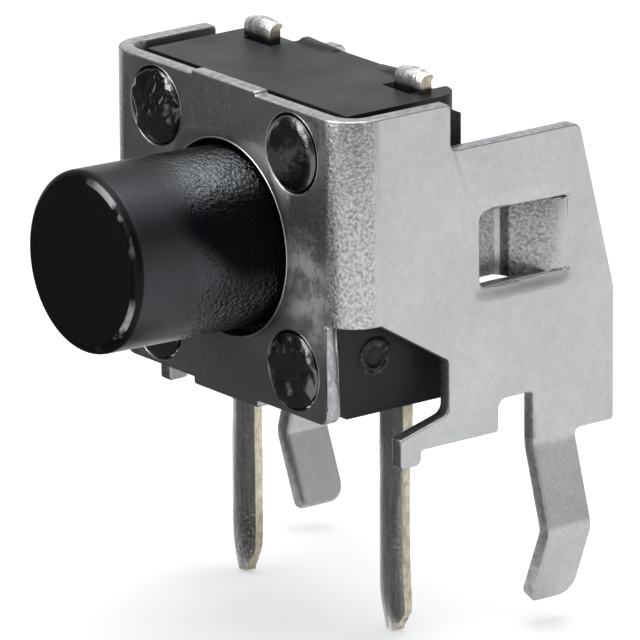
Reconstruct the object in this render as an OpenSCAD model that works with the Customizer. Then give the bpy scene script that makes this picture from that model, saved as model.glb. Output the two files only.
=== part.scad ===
// Right angle tactile push switch in a stamped bracket with snap-in legs.
// The board lies in the plane z = 0, the leads stand in the plane y = 0 and the plunger points along -Y.

/* [Bracket] */
// Gap between each side of the base and the wing beside it
side_gap = 0.35; // [0.3:0.05:1]
// Thickness of the bracket sheet
sheet = 0.3; // [0.2:0.05:0.4]
// Distance from the leads to the outer face of the front plate
front_reach = 2.2; // [2.1:0.1:3]
// Height of the bottom edge of the front plate above the board
plate_bottom_z = 0.9; // [0.7:0.05:1.1]
// Height of the top edge of the front plate above the board
plate_top_z = 6.7; // [6.6:0.05:7.2]
// Outer radius of the two corner bends
bend_r = 0.7; // [0.5:0.05:0.8]
// Rear edge of the high cheek, behind the leads
cheek_reach = 0.2; // [0.1:0.05:0.5]
// Height of the wing's top edge above the board
wing_top_z = 5.82; // [5.4:0.02:6.2]
// Rear end of the wing's top edge, behind the leads
wing_top_reach = 3.2; // [3:0.1:3.6]
// Rear edge of the wing, behind the leads
wing_reach = 4; // [3.8:0.1:5]
// Height at which the slanted rear edge of the wing becomes upright
wing_slope_z = 2.58; // [1.5:0.02:3.5]

/* [Cut-outs of the bracket] */
// Height of the cut-out's level top edge, where the bends stop
cutout_top_z = 2.8; // [2.4:0.1:3]
// Rear wall of the cut-out, behind the leads
cutout_reach = 0.15; // [0:0.05:0.3]
// Height where the cut-out's slanted top edge meets its rear wall
cutout_step_z = 1.86; // [1.5:0.02:2.2]
// Height of the cut-out's bottom corner above the board
cutout_bottom_z = 0.86; // [0.7:0.02:1]
// Length of the cut-out's level top edge behind the bend
cutout_flat = 0.1; // [0:0.05:0.3]
// Height of the wing's raised bottom edge above the board
wing_gap_z = 0.28; // [0.15:0.01:0.4]
// Distance from the leads forward to the front edge of the foot
foot_reach = 0.97; // [0.8:0.01:1.2]
// Length of the foot along the board
foot_len = 0.47; // [0.3:0.01:0.6]
// Height of the foot's front edge
foot_h = 0.56; // [0.4:0.02:0.65]
// Front wall of the slot beside the leg, behind the leads
slot_reach = 1.3; // [1.1:0.05:1.5]
// Height of the slot beside the leg
slot_h = 0.9; // [0.6:0.05:1.2]

/* [Corner radii of the sheet] */
// Radius of the sharp corners that the punch leaves
shear_r = 0.05; // [0.02:0.01:0.08]
// Radius of the lower corners of the front plate
plate_corner_r = 0.25; // [0.1:0.05:0.5]
// Radius of the wing's top corners
wing_corner_r = 0.12; // [0.05:0.01:0.3]
// Radius where the wing's slanted rear edge becomes upright
wing_slope_r = 0.3; // [0.1:0.05:1]
// Radius of the front top corner of the slot beside the leg
slot_corner_r = 0.18; // [0.05:0.01:0.25]
// Radius of the foot's rear corner
foot_corner_r = 0.14; // [0.05:0.01:0.2]
// Radius of the lower inner corner of the cut-out
cutout_corner_r = 0.2; // [0.1:0.01:0.25]
// Radius where the cut-out's slanted edge meets its rear wall
cutout_step_r = 0.14; // [0.05:0.01:0.3]
// Radius of the window's front top corner
window_corner_r = 0.15; // [0.05:0.01:0.3]

/* [Snap-in legs] */
// Distance from the leads to the middle of the legs
leg_reach = 2.6; // [2.5:0.01:2.7]
// Width of a leg
leg_w = 1; // [0.8:0.05:1.1]
// Length of a leg below the board
leg_len = 3.2; // [2.6:0.1:3.6]
// Depth below the board at which a leg bulges most
leg_bulge_depth = 1.75; // [1.3:0.05:2.2]
// Distance by which a leg bulges outwards
leg_bulge = 0.48; // [0.2:0.02:0.6]
// Distance by which a leg's tip runs back inwards past its root
leg_tip_in = 0.1; // [0:0.02:0.3]
// Outer radius of a leg's bulge
leg_bulge_r = 0.45; // [0.35:0.05:0.8]
// Radius of the gentle bend at a leg's root
leg_root_r = 0.6; // [0.3:0.05:0.8]
// Radius of the front corner of a leg's tip
leg_front_r = 0.15; // [0.05:0.01:0.3]
// Radius of the rear corner of a leg's tip
leg_rear_r = 0.3; // [0.1:0.01:0.4]

/* [Retaining tabs] */
// Front edge of the window, behind the leads
window_reach = 0.85; // [0.6:0.05:1]
// Length of the window that a tab is cut from
window_len = 2; // [1.8:0.05:2.1]
// Height of the window's bottom edge above the board
window_bottom_z = 3.1; // [2.9:0.05:3.3]
// Height of the window
window_h = 1.4; // [1.1:0.05:1.6]
// Width of the pressed rim round the window
rim_w = 0.2; // [0.1:0.02:0.25]
// Depth to which the rim is pressed in
rim_depth = 0.05; // [0.02:0.01:0.1]
// Distance by which a tab is joggled inwards
tab_joggle = 0.6; // [0.5:0.02:0.7]
// Length of the tab's slanted part along the wing
tab_slant_len = 1.1; // [0.8:0.05:1.2]
// Clearance between a tab and the top and bottom of its window
tab_side_gap = 0.05; // [0.02:0.01:0.1]
// Clearance between a tab's end and the back of the base
tab_end_gap = 0.02; // [0:0.01:0.05]
// Outer radius of the bend at the tab's root
tab_root_r = 0.45; // [0.35:0.05:0.6]
// Radius of the bend where the tab turns forward again
tab_kink_r = 0.15; // [0.05:0.05:0.3]

/* [Front plate] */
// Width by which the flat plate below the bends runs on past the start of each bend
plate_lap = 0.12; // [0.02:0.01:0.25]
// Clearance round the plunger in its hole
plunger_play = 0.15; // [0.05:0.01:0.2]
// Clearance round a post in its hole
post_play = 0.04; // [0.02:0.01:0.06]
// Width of the nubs left at the plate's top and bottom where the strip was cut
strip_nub_w = 1.95; // [1.5:0.05:2.2]
// Height of the nub at the plate's top
top_nub_h = 0.07; // [0.03:0.01:0.12]
// Height of the nub at the plate's bottom
bottom_nub_h = 0.13; // [0.05:0.01:0.2]

/* [Base] */
// Width of the moulded base
base_w = 6; // [5.8:0.05:6.2]
// Distance by which the base stays back from the top and bottom edges of the plate
base_inset = 0.05; // [0:0.01:0.15]
// Distance from the leads to the back of the base
base_back = 1; // [0.8:0.05:1.2]
// Diameter of a moulded post
post_d = 1.32; // [1.2:0.02:1.36]
// Width by which the flattened head of a post covers the rim of its hole
post_head_lap = 0.04; // [0.02:0.01:0.06]
// Height of a post's head over the front plate
post_head_h = 0.16; // [0.1:0.01:0.25]
// Clearance in the well round the dome or the flange, whichever is wider
well_play = 0.1; // [0.05:0.01:0.12]
// Thickness of the wall between the well and a post
post_wall = 0.09; // [0.05:0.01:0.12]
// Depth to which the leads lie under the floor of the well
lead_cover = 0.1; // [0.05:0.01:0.2]
// Width of the bevel behind the front plate
front_bevel = 0.18; // [0.1:0.02:0.3]
// Radius of the back corners, seen from above
back_corner_r = 0.5; // [0.2:0.05:0.7]
// Depth from the top and the bottom to which the back corners are rounded
back_corner_h = 0.24; // [0.15:0.01:0.6]
// Fall of the slanted shoulders under the rounded corners
shoulder_fall = 0.17; // [0.05:0.01:0.3]
// Length of the slanted shoulders
shoulder_len = 0.37; // [0.2:0.01:0.5]
// Depth of the pits in which the stubs of the leads stand
pit_depth = 0.13; // [0.05:0.01:0.2]
// Clearance round a stub in its pit
pit_play = 0.15; // [0.05:0.01:0.2]
// Diameter of the round mark on each side
mark_d = 0.7; // [0.4:0.05:0.8]
// Depth of the round mark
mark_depth = 0.04; // [0.02:0.01:0.08]
// Distance from the leads forward to the middle of the mark
mark_reach = 1.26; // [1.1:0.02:1.4]
// Height of the middle of the mark above the board
mark_z = 2.1; // [1.7:0.05:2.3]

/* [Plunger] */
// Diameter of the plunger
plunger_d = 3.4; // [3.3:0.02:3.5]
// Distance from the leads to the tip of the plunger
plunger_reach = 5.48; // [4.5:0.02:9]
// Radius of the plunger's front edge
plunger_edge_r = 0.16; // [0.05:0.01:0.3]
// Width by which the flange reaches behind the plate round the hole
flange_lap = 0.2; // [0.1:0.01:0.25]
// Thickness of the flange
flange_t = 0.7; // [0.5:0.05:0.8]
// Play between the flange and the plate
flange_play = 0.05; // [0.03:0.01:0.08]
// Diameter of the nub that presses the dome
nub_d = 1.6; // [1.2:0.1:2]
// Gap between the nub and the dome at rest
nub_gap = 0.03; // [0.02:0.01:0.05]
// Radius of the flange's rear edge
flange_edge_r = 0.05; // [0.02:0.01:0.1]
// Radius of the nub's edge
nub_edge_r = 0.1; // [0.05:0.01:0.2]

/* [Dome] */
// Diameter of the snap dome
dome_d = 3.9; // [3.7:0.05:4]
// Travel of the dome until it closes the contact
dome_travel = 0.25; // [0.2:0.01:0.3]
// Thickness of the dome
dome_t = 0.08; // [0.05:0.01:0.1]

/* [Leads] */
// Distance between the middles of the two leads
lead_pitch = 4.5; // [4.4:0.05:4.6]
// Width of a lead
lead_w = 0.65; // [0.5:0.05:0.7]
// Thickness of a lead
lead_t = 0.25; // [0.2:0.01:0.3]
// Length of a lead below the board
lead_len = 3.6; // [3:0.1:4.5]
// Length of the tapered tip of a lead
lead_tip_len = 0.6; // [0.3:0.05:0.8]
// Width of a lead at its very tip
lead_tip_w = 0.22; // [0.15:0.01:0.4]
// Radius of the two shoulders where a lead narrows to its tip
lead_shoulder_r = 0.3; // [0.1:0.05:0.6]
// Radius of the corners of a lead's tip
lead_point_r = 0.06; // [0.02:0.01:0.08]
// Distance by which the top of a lead is joggled back inside the base
stub_shift = 0.42; // [0.3:0.01:0.5]
// Depth under the top of the base at which the joggle ends
stub_root = 0.6; // [0.4:0.05:0.8]
// Width of the cut-off stub
stub_w = 0.8; // [0.65:0.05:0.9]
// Height of the stub over the top of the base
stub_h = 0.44; // [0.2:0.02:0.6]
// Radius to which the shear has rolled the stub's front edge
stub_roll_r = 0.2; // [0.1:0.01:0.24]
// Distance by which the shear has drawn the stub's rear edge back
stub_burr = 0.06; // [0.02:0.01:0.1]
// Diameter of the contact pad under the middle of the dome
pad_d = 0.9; // [0.6:0.05:1.1]
// Width of the ring that the dome's rim rests on
ring_w = 0.34; // [0.25:0.01:0.4]
// Width of the strip from the left lead to the contact pad
tongue_w = 0.6; // [0.4:0.05:0.7]
// Height of the contacts over the floor of the well
contact_rise = 0.03; // [0.01:0.01:0.05]
// Angle of the gap in the ring, where the strip to the pad passes
ring_gap_angle = 70; // [50:5:110]

/* [Hidden] */

$fn = 64;
arc_steps = 6;
dome_steps = 10;
sides = [-1, 1];
// Length by which a cutting shape runs past the face that it opens
over = 0.5;

bracket_w = base_w + 2 * (side_gap + sheet);
half_w = bracket_w / 2;
front_y = -front_reach;
plate_back_y = front_y + sheet;
bend_x = half_w - bend_r;
plate_half_w = bend_x + plate_lap;
bend_y = front_y + bend_r;
axis_z = (plate_top_z + plate_bottom_z) / 2;
plate_h = plate_top_z - plate_bottom_z;
leg_front_y = leg_reach - leg_w / 2;
leg_back_y = leg_reach + leg_w / 2;
hinge_y = window_reach + window_len;
kink_y = hinge_y - tab_slant_len;
tab_h = window_h - 2 * tab_side_gap;
tab_z = window_bottom_z + tab_side_gap;
tab_end_y = base_back + tab_end_gap;

base_top_z = plate_top_z - base_inset;
base_bottom_z = plate_bottom_z + base_inset;
base_h = base_top_z - base_bottom_z;
lead_front_y = -lead_t / 2;
floor_y = lead_front_y - lead_cover;
contact_y = floor_y - contact_rise;
dome_r = dome_d / 2;
dome_ball_r = (dome_r * dome_r + dome_travel * dome_travel) / (2 * dome_travel);
dome_half_angle = asin(dome_r / dome_ball_r);
dome_top_y = contact_y - dome_travel - dome_t * cos(dome_half_angle);
flange_front_y = plate_back_y + flange_play;
flange_back_y = flange_front_y + flange_t;
nub_y = dome_top_y - nub_gap;
ring_d = dome_d - ring_w;
lead_x = lead_pitch / 2;
stub_top_z = base_top_z + stub_h;
stub_root_z = base_top_z - stub_root;
stub_front_y = lead_front_y + stub_shift;
joggle_end = lead_t / 2;

plunger_hole_d = plunger_d + 2 * plunger_play;
flange_d = plunger_hole_d + 2 * flange_lap;
well_d = max(flange_d, dome_d) + 2 * well_play;
post_hole_d = post_d + 2 * post_play;
post_head_d = post_hole_d + 2 * post_head_lap;
post_pitch = (well_d + post_d + 2 * post_wall) / sqrt(2);

// Plain vector helpers
function unit(v) = v / norm(v);
function left_of(a, b) = let (d = unit(b - a)) [-d[1], d[0]];
function place(p) = [p[0], p[1]];

// Points of the arc that rounds the corner p between its neighbours a and b
function corner_arc(a, p, b, r) =
    r <= 0 ? [p] :
    let (
        u = unit(a - p),
        v = unit(b - p),
        half = acos(u * v) / 2,
        middle = p + unit(u + v) * (r / sin(half)),
        from = p + u * (r / tan(half)) - middle,
        to = p + v * (r / tan(half)) - middle,
        start = atan2(from[1], from[0]),
        turn = atan2(to[1], to[0]) - start,
        sweep = turn > 180 ? turn - 360 : turn < -180 ? turn + 360 : turn
    )
    [for (i = [0 : arc_steps]) let (a = start + sweep * i / arc_steps) middle + r * [cos(a), sin(a)]];

// Outline through corners given as [x, y, radius]
function rounded_outline(corners) =
    let (n = len(corners))
    [for (i = [0 : n - 1])
        each corner_arc(
            place(corners[(i + n - 1) % n]),
            place(corners[i]),
            place(corners[(i + 1) % n]),
            corners[i][2]
        )];

// Corner i of a bent strip's second side, which lies to the left of the path at distance t
function left_corner(path, i, t) =
    let (
        last = len(path) - 1,
        n1 = left_of(place(path[max(i - 1, 0)]), place(path[max(i, 1)])),
        n2 = left_of(place(path[min(i, last - 1)]), place(path[min(i + 1, last)])),
        m = unit(n1 + n2),
        turns_left = n1[0] * n2[1] - n1[1] * n2[0] > 0,
        p = place(path[i]) + m * (t / (m * n1))
    )
    [p[0], p[1], path[i][2] <= 0 ? 0 : max(0.02, path[i][2] + (turns_left ? -t : t))];

// Outline of a sheet strip of thickness t, bent along a path of [x, y, radius]
function strip_outline(path, t) =
    rounded_outline(concat(path, [for (i = [len(path) - 1 : -1 : 0]) left_corner(path, i, t)]));

// Turns an outline in Y and Z into a plate across X, from x = 0 to x = t
module across_x(t) {
    rotate([90, 0, 90]) linear_extrude(t) children();
}

// Turns an outline in X and Z into a plate along Y, from y to y + t
module along_y(y, t) {
    translate([0, y + t, 0]) rotate([90, 0, 0]) linear_extrude(t) children();
}

// Repeats a shape on the right and, mirrored, on the left
module both_sides() {
    for (side = sides) scale_side(side) children();
}

module scale_side(side) {
    if (side < 0) mirror([1, 0, 0]) children();
    else children();
}

// Repeats a shape at the four posts
module at_posts() {
    for (x = sides, z = sides) translate([x * post_pitch / 2, 0, axis_z + z * post_pitch / 2]) children();
}

// A round bar along Y
module round_y(d, y_from, y_to) {
    translate([0, y_to, 0]) rotate([90, 0, 0]) cylinder(d = d, h = y_to - y_from);
}

// Flat front plate with the nubs of its carrier strip
module front_plate() {
    along_y(front_y, sheet) {
        translate([-bend_x, cutout_top_z]) square([2 * bend_x, plate_top_z - cutout_top_z]);
        polygon(rounded_outline([
            [-plate_half_w, cutout_top_z, 0],
            [-plate_half_w, plate_bottom_z, plate_corner_r],
            [plate_half_w, plate_bottom_z, plate_corner_r],
            [plate_half_w, cutout_top_z, 0]
        ]));
        polygon(rounded_outline([
            [-strip_nub_w / 2, axis_z, 0],
            [-strip_nub_w / 2, plate_top_z + top_nub_h, top_nub_h / 2],
            [strip_nub_w / 2, plate_top_z + top_nub_h, top_nub_h / 2],
            [strip_nub_w / 2, axis_z, 0]
        ]));
        polygon(rounded_outline([
            [-strip_nub_w / 2, axis_z, 0],
            [-strip_nub_w / 2, plate_bottom_z - bottom_nub_h, shear_r],
            [strip_nub_w / 2, plate_bottom_z - bottom_nub_h, shear_r],
            [strip_nub_w / 2, axis_z, 0]
        ]));
    }
}

// Quarter bend between the plate and the right cheek
module corner_bend() {
    intersection() {
        translate([bend_x, bend_y, cutout_top_z]) difference() {
            cylinder(r = bend_r, h = plate_top_z - cutout_top_z);
            translate([0, 0, -over]) cylinder(r = bend_r - sheet, h = plate_h + 2 * over);
        }
        translate([bend_x, front_y, cutout_top_z]) cube([bend_r, bend_r, plate_top_z - cutout_top_z]);
    }
}

// Cheek, wing, arm and foot of one side, seen from the side
module side_outline() {
    polygon(rounded_outline([
        [bend_y, cutout_top_z, 0],
        [bend_y, plate_top_z, 0],
        [cheek_reach, plate_top_z, wing_corner_r],
        [cheek_reach, wing_top_z, wing_corner_r],
        [wing_top_reach, wing_top_z, wing_corner_r],
        [wing_reach, wing_slope_z, wing_slope_r],
        [wing_reach, 0, shear_r],
        [leg_front_y, 0, 0],
        [leg_front_y, slot_h, shear_r],
        [slot_reach, slot_h, slot_corner_r],
        [slot_reach, wing_gap_z, shear_r],
        [foot_len - foot_reach, wing_gap_z, shear_r],
        [foot_len - foot_reach, 0, foot_corner_r],
        [-foot_reach, 0, shear_r],
        [-foot_reach, foot_h, shear_r],
        [cutout_reach, cutout_bottom_z, cutout_corner_r],
        [cutout_reach, cutout_step_z, cutout_step_r],
        [bend_y + cutout_flat, cutout_top_z, shear_r]
    ]));
}

// The window that the tab is cut from
module window_outline() {
    polygon(rounded_outline([
        [window_reach, window_bottom_z, shear_r],
        [window_reach, window_bottom_z + window_h, window_corner_r],
        [hinge_y, window_bottom_z + window_h, shear_r],
        [hinge_y, window_bottom_z, shear_r]
    ]));
}

// The window with its pressed rim
module rim_outline() {
    polygon(rounded_outline([
        [window_reach - rim_w, window_bottom_z - rim_w, rim_w],
        [window_reach - rim_w, window_bottom_z + window_h + rim_w, rim_w],
        [hinge_y, window_bottom_z + window_h + rim_w, shear_r],
        [hinge_y, window_bottom_z - rim_w, shear_r]
    ]));
}

// Tab that is joggled inwards and runs forward to the back of the base
module retaining_tab() {
    root_y = hinge_y + 2 * sheet;
    translate([0, 0, tab_z]) linear_extrude(tab_h) polygon(strip_outline([
        [half_w - tab_joggle, tab_end_y, 0],
        [half_w - tab_joggle, kink_y, tab_kink_r],
        [half_w, hinge_y, tab_root_r],
        [half_w, root_y, 0]
    ], sheet));
}

// Leg that bulges outwards to snap into its board hole
module snap_leg() {
    intersection() {
        along_y(leg_front_y, leg_w) polygon(strip_outline([
            [half_w - leg_tip_in, -leg_len, 0],
            [half_w + leg_bulge, -leg_bulge_depth, leg_bulge_r],
            [half_w, -sheet / 2, leg_root_r],
            [half_w, slot_h / 2, 0]
        ], sheet));
        across_x(bracket_w) polygon(rounded_outline([
            [leg_front_y, slot_h, 0],
            [leg_back_y, slot_h, 0],
            [leg_back_y, -leg_len, leg_rear_r],
            [leg_front_y, -leg_len, leg_front_r]
        ]));
    }
}

module bracket() {
    color("silver") difference() {
        union() {
            front_plate();
            both_sides() {
                corner_bend();
                difference() {
                    translate([half_w - sheet, 0, 0]) across_x(sheet) side_outline();
                    translate([half_w - 2 * sheet, 0, 0]) across_x(3 * sheet) window_outline();
                    translate([half_w - rim_depth, 0, 0]) across_x(sheet) rim_outline();
                }
                retaining_tab();
                snap_leg();
            }
        }
        translate([0, 0, axis_z]) round_y(plunger_hole_d, front_y - over, plate_back_y + over);
        at_posts() round_y(post_hole_d, front_y - over, plate_back_y + over);
    }
}

// Body of the base between the two bevels behind the plate
module base_profile() {
    polygon([
        [plate_back_y, base_bottom_z + front_bevel],
        [plate_back_y, base_top_z - front_bevel],
        [plate_back_y + front_bevel, base_top_z],
        [base_back, base_top_z],
        [base_back, base_bottom_z],
        [plate_back_y + front_bevel, base_bottom_z]
    ]);
}

// Shoulders that keep the back corners square at mid height
module shoulder_profile() {
    polygon([
        [plate_back_y + front_bevel, base_bottom_z + back_corner_h],
        [plate_back_y + front_bevel, base_top_z - back_corner_h],
        [base_back - shoulder_len, base_top_z - back_corner_h],
        [base_back, base_top_z - back_corner_h - shoulder_fall],
        [base_back, base_bottom_z + back_corner_h + shoulder_fall],
        [base_back - shoulder_len, base_bottom_z + back_corner_h]
    ]);
}

// Block of the base: rounded back corners above and below, square ones between
module base_block() {
    intersection() {
        translate([-base_w / 2, 0, 0]) across_x(base_w) base_profile();
        translate([0, 0, base_bottom_z]) linear_extrude(base_h) polygon(rounded_outline([
            [-base_w / 2, plate_back_y, 0],
            [base_w / 2, plate_back_y, 0],
            [base_w / 2, base_back, back_corner_r],
            [-base_w / 2, base_back, back_corner_r]
        ]));
    }
    translate([-base_w / 2, 0, 0]) across_x(base_w) shoulder_profile();
}

// Pit round the stub of the right lead, open to the back
module stub_pit() {
    pit_w = stub_w + 2 * pit_play;
    pit_front_y = stub_front_y - pit_play;
    translate([lead_x - pit_w / 2, pit_front_y, base_top_z - pit_depth])
        cube([pit_w, base_back + over - pit_front_y, pit_depth + over]);
}

// Shallow round mark on the right side
module side_mark() {
    translate([base_w / 2 - mark_depth, -mark_reach, mark_z]) rotate([0, 90, 0])
        cylinder(d = mark_d, h = mark_depth + over);
}

// Head of a post, flattened over the plate
module post_head() {
    intersection() {
        round_y(post_head_d, front_y - post_head_h, front_y);
        translate([0, front_y - post_head_h + post_head_d, 0]) sphere(r = post_head_d);
    }
}

module base() {
    color([0.16, 0.16, 0.17]) difference() {
        union() {
            base_block();
            at_posts() {
                round_y(post_d, front_y, plate_back_y + sheet);
                post_head();
            }
        }
        both_sides() {
            stub_pit();
            side_mark();
        }
        translate([0, 0, axis_z]) round_y(well_d, plate_back_y - sheet, floor_y);
        lead_left();
        lead_right();
    }
}

module plunger() {
    color([0.14, 0.14, 0.15]) translate([0, 0, axis_z]) rotate([90, 0, 0]) rotate_extrude()
        polygon(rounded_outline([
            [0, plunger_reach, 0],
            [plunger_d / 2, plunger_reach, plunger_edge_r],
            [plunger_d / 2, -flange_front_y, 0],
            [flange_d / 2, -flange_front_y, 0],
            [flange_d / 2, -flange_back_y, flange_edge_r],
            [nub_d / 2, -flange_back_y, 0],
            [nub_d / 2, -nub_y, nub_edge_r],
            [0, -nub_y, 0]
        ]));
}

// Points of an arc of the dome's section
function dome_arc(r) =
    [for (i = [0 : dome_steps]) let (a = dome_half_angle * i / dome_steps) r * [sin(a), cos(a)]];
function reversed(points) = [for (i = [len(points) - 1 : -1 : 0]) points[i]];

// Dished disc whose rim rests on the contact ring
module snap_dome() {
    color("gainsboro") translate([0, dome_top_y + dome_ball_r, axis_z]) rotate([90, 0, 0]) rotate_extrude()
        polygon(concat(dome_arc(dome_ball_r), reversed(dome_arc(dome_ball_r - dome_t))));
}

// Strip of one lead from the tapered tip below the board to the joggle inside the base
module lead_strip() {
    intersection() {
        along_y(-lead_t, stub_shift + 2 * lead_t) polygon(rounded_outline([
            [-lead_w / 2, stub_root_z, 0],
            [-lead_w / 2, lead_tip_len - lead_len, lead_shoulder_r],
            [-lead_tip_w / 2, -lead_len, lead_point_r],
            [lead_tip_w / 2, -lead_len, lead_point_r],
            [lead_w / 2, lead_tip_len - lead_len, lead_shoulder_r],
            [lead_w / 2, stub_root_z, 0]
        ]));
        translate([-lead_w / 2, 0, 0]) across_x(lead_w) polygon(strip_outline([
            [stub_front_y, stub_root_z, 0],
            [stub_front_y, stub_root_z - joggle_end, lead_t],
            [lead_front_y, stub_root_z - stub_shift - joggle_end, lead_t],
            [lead_front_y, -lead_len, 0]
        ], lead_t));
    }
}

// Cut-off stub over the joggle, rolled over at the front and drawn back at the rear by the shear
module lead_stub() {
    translate([-stub_w / 2, 0, 0]) across_x(stub_w) polygon(rounded_outline([
        [stub_front_y, stub_root_z, 0],
        [stub_front_y + lead_t, stub_root_z, 0],
        [stub_front_y + lead_t, stub_top_z - 2 * stub_burr, 0],
        [stub_front_y + lead_t + stub_burr, stub_top_z - stub_burr, 0],
        [stub_front_y + lead_t, stub_top_z, 0],
        [stub_front_y, stub_top_z, stub_roll_r]
    ]));
}

module lead(side) {
    translate([side * lead_x, 0, 0]) {
        lead_strip();
        lead_stub();
    }
}

// Lead whose inner strip carries the pad under the middle of the dome
module lead_left() {
    color("silver") {
        lead(-1);
        along_y(lead_front_y, lead_t) translate([-lead_x, axis_z - tongue_w / 2]) square([lead_x, tongue_w]);
        translate([0, 0, axis_z]) round_y(pad_d, contact_y, -lead_front_y);
    }
}

// Lead whose inner end is the open ring under the dome's rim
module lead_right() {
    color("silver") {
        lead(1);
        difference() {
            translate([0, 0, axis_z]) round_y(ring_d + ring_w, contact_y, -lead_front_y);
            translate([0, 0, axis_z]) round_y(ring_d - ring_w, contact_y - over, over - lead_front_y);
            translate([0, 0, axis_z]) along_y(contact_y - over, lead_t + 2 * over) polygon([
                [0, 0],
                dome_d * [-cos(ring_gap_angle / 2), sin(ring_gap_angle / 2)],
                dome_d * [-cos(ring_gap_angle / 2), -sin(ring_gap_angle / 2)]
            ]);
        }
        along_y(lead_front_y, lead_t) translate([ring_d / 2, axis_z - tongue_w / 2])
            square([lead_x - ring_d / 2, tongue_w]);
    }
}

bracket();
base();
plunger();
snap_dome();
lead_left();
lead_right();
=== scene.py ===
"""Looks of a right angle tactile switch: stamped bracket, moulded base, plunger, dome and leads."""

import logging
import math
from dataclasses import dataclass, field
from enum import Enum
from typing import Callable, Iterable, Sequence

import bmesh
import bpy
from mathutils import Matrix, Vector, noise

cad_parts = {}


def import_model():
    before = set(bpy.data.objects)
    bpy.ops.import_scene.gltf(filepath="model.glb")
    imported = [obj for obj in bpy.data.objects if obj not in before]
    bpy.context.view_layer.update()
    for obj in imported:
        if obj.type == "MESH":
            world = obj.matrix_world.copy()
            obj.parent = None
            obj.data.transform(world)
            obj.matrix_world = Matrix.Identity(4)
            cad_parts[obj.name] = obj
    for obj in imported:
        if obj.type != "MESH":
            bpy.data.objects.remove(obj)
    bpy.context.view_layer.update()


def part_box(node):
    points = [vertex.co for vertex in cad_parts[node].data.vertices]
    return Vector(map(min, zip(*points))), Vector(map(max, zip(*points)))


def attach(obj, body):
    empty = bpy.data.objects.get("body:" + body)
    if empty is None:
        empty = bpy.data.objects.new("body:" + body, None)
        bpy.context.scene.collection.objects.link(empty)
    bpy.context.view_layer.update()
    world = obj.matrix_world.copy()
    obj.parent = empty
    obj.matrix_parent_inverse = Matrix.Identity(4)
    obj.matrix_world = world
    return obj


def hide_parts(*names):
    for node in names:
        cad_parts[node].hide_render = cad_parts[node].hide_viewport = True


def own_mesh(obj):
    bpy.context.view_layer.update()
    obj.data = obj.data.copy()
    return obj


LOG = logging.getLogger("switch")
MM = 0.001
X_AXIS = Vector((1, 0, 0))
Z_AXIS = Vector((0, 0, 1))
FORWARD = Vector((0, -1, 0))
# Points closer than this, in millimetres, are one.
MERGE = 1e-4
# Edges sharper than this, in degrees, are rounded.
SHARP_ANGLE = 38.0
# How much the large faces count in the shading against the small ones, from 1 to 100.
SHADING_WEIGHT = 80

Corner = tuple[float, float, float]
Triple = tuple[float, float, float]
Mesh = bmesh.types.BMesh
Vert = bmesh.types.BMVert
Edge = bmesh.types.BMEdge
Face = bmesh.types.BMFace
Layer = bmesh.types.BMLayerItem
Tree = bpy.types.ShaderNodeTree
Node = bpy.types.ShaderNode
Socket = bpy.types.NodeSocket
Material = bpy.types.Material
Piece = bpy.types.Object


class Body(Enum):
    """Moving bodies of the frame."""

    CASE = "case"
    BUTTON = "button"


class Joint(Enum):
    """Moving joints of the record."""

    PRESS = "plunger_press"


class Slot(Enum):
    """Material slots of the record."""

    TIN = "tin_plated_steel"
    MOULDING = "black_moulding"
    PLUNGER = "black_plunger"
    SPRING = "spring_steel"
    BRASS = "plated_brass"


def clamped(value: float) -> float:
    """Returns a value kept between 0 and 1."""
    return min(1.0, max(0.0, value))


def round_corner(
    before: Vector, corner: Vector, after: Vector, radius: float, steps: int
) -> list[Vector]:
    """Rounds one corner of a flat outline.

    Args:
        before: The corner before this one.
        corner: The corner to round.
        after: The corner after this one.
        radius: Radius of the arc, or 0 to keep the corner.
        steps: Number of edges in the arc.

    Returns:
        The points that take the corner's place.
    """
    if radius <= 0:
        return [corner.copy()]
    back = (before - corner).normalized()
    ahead = (after - corner).normalized()
    half = back.angle(ahead) / 2
    centre = corner + (back + ahead).normalized() * (radius / math.sin(half))
    start = corner + back * (radius / math.tan(half)) - centre
    sweep = -start.angle_signed(corner + ahead * (radius / math.tan(half)) - centre)
    return [centre + Matrix.Rotation(sweep * i / steps, 2) @ start for i in range(steps + 1)]


def outline(corners: Sequence[Corner], steps: int = 5) -> list[Vector]:
    """Makes a closed outline from rounded corners.

    Args:
        corners: Corners as (x, y, radius) in millimetres.
        steps: Number of edges in each arc.

    Returns:
        Points of the outline in millimetres.
    """
    places = [Vector(c[:2]) for c in corners]
    points: list[Vector] = []
    for i, corner in enumerate(corners):
        after = places[(i + 1) % len(places)]
        points += round_corner(places[i - 1], places[i], after, corner[2], steps)
    return points


def circle(x: float, y: float, radius: float, steps: int) -> list[Vector]:
    """Returns the points of a circle in millimetres."""
    middle = Vector((x, y))
    spoke = Vector((radius, 0))
    return [middle + Matrix.Rotation(math.tau * i / steps, 2) @ spoke for i in range(steps)]


def direction(azimuth: float, elevation: float) -> Vector:
    """Returns the direction at an angle from the front towards the right and at a height.

    Args:
        azimuth: Angle from the front, in degrees.
        elevation: Angle over the horizon, in degrees.

    Returns:
        The direction, one unit long.
    """
    turned = math.radians(azimuth)
    lifted = math.radians(elevation)
    level = math.cos(lifted)
    return Vector((math.sin(turned) * level, -math.cos(turned) * level, math.sin(lifted)))


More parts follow.
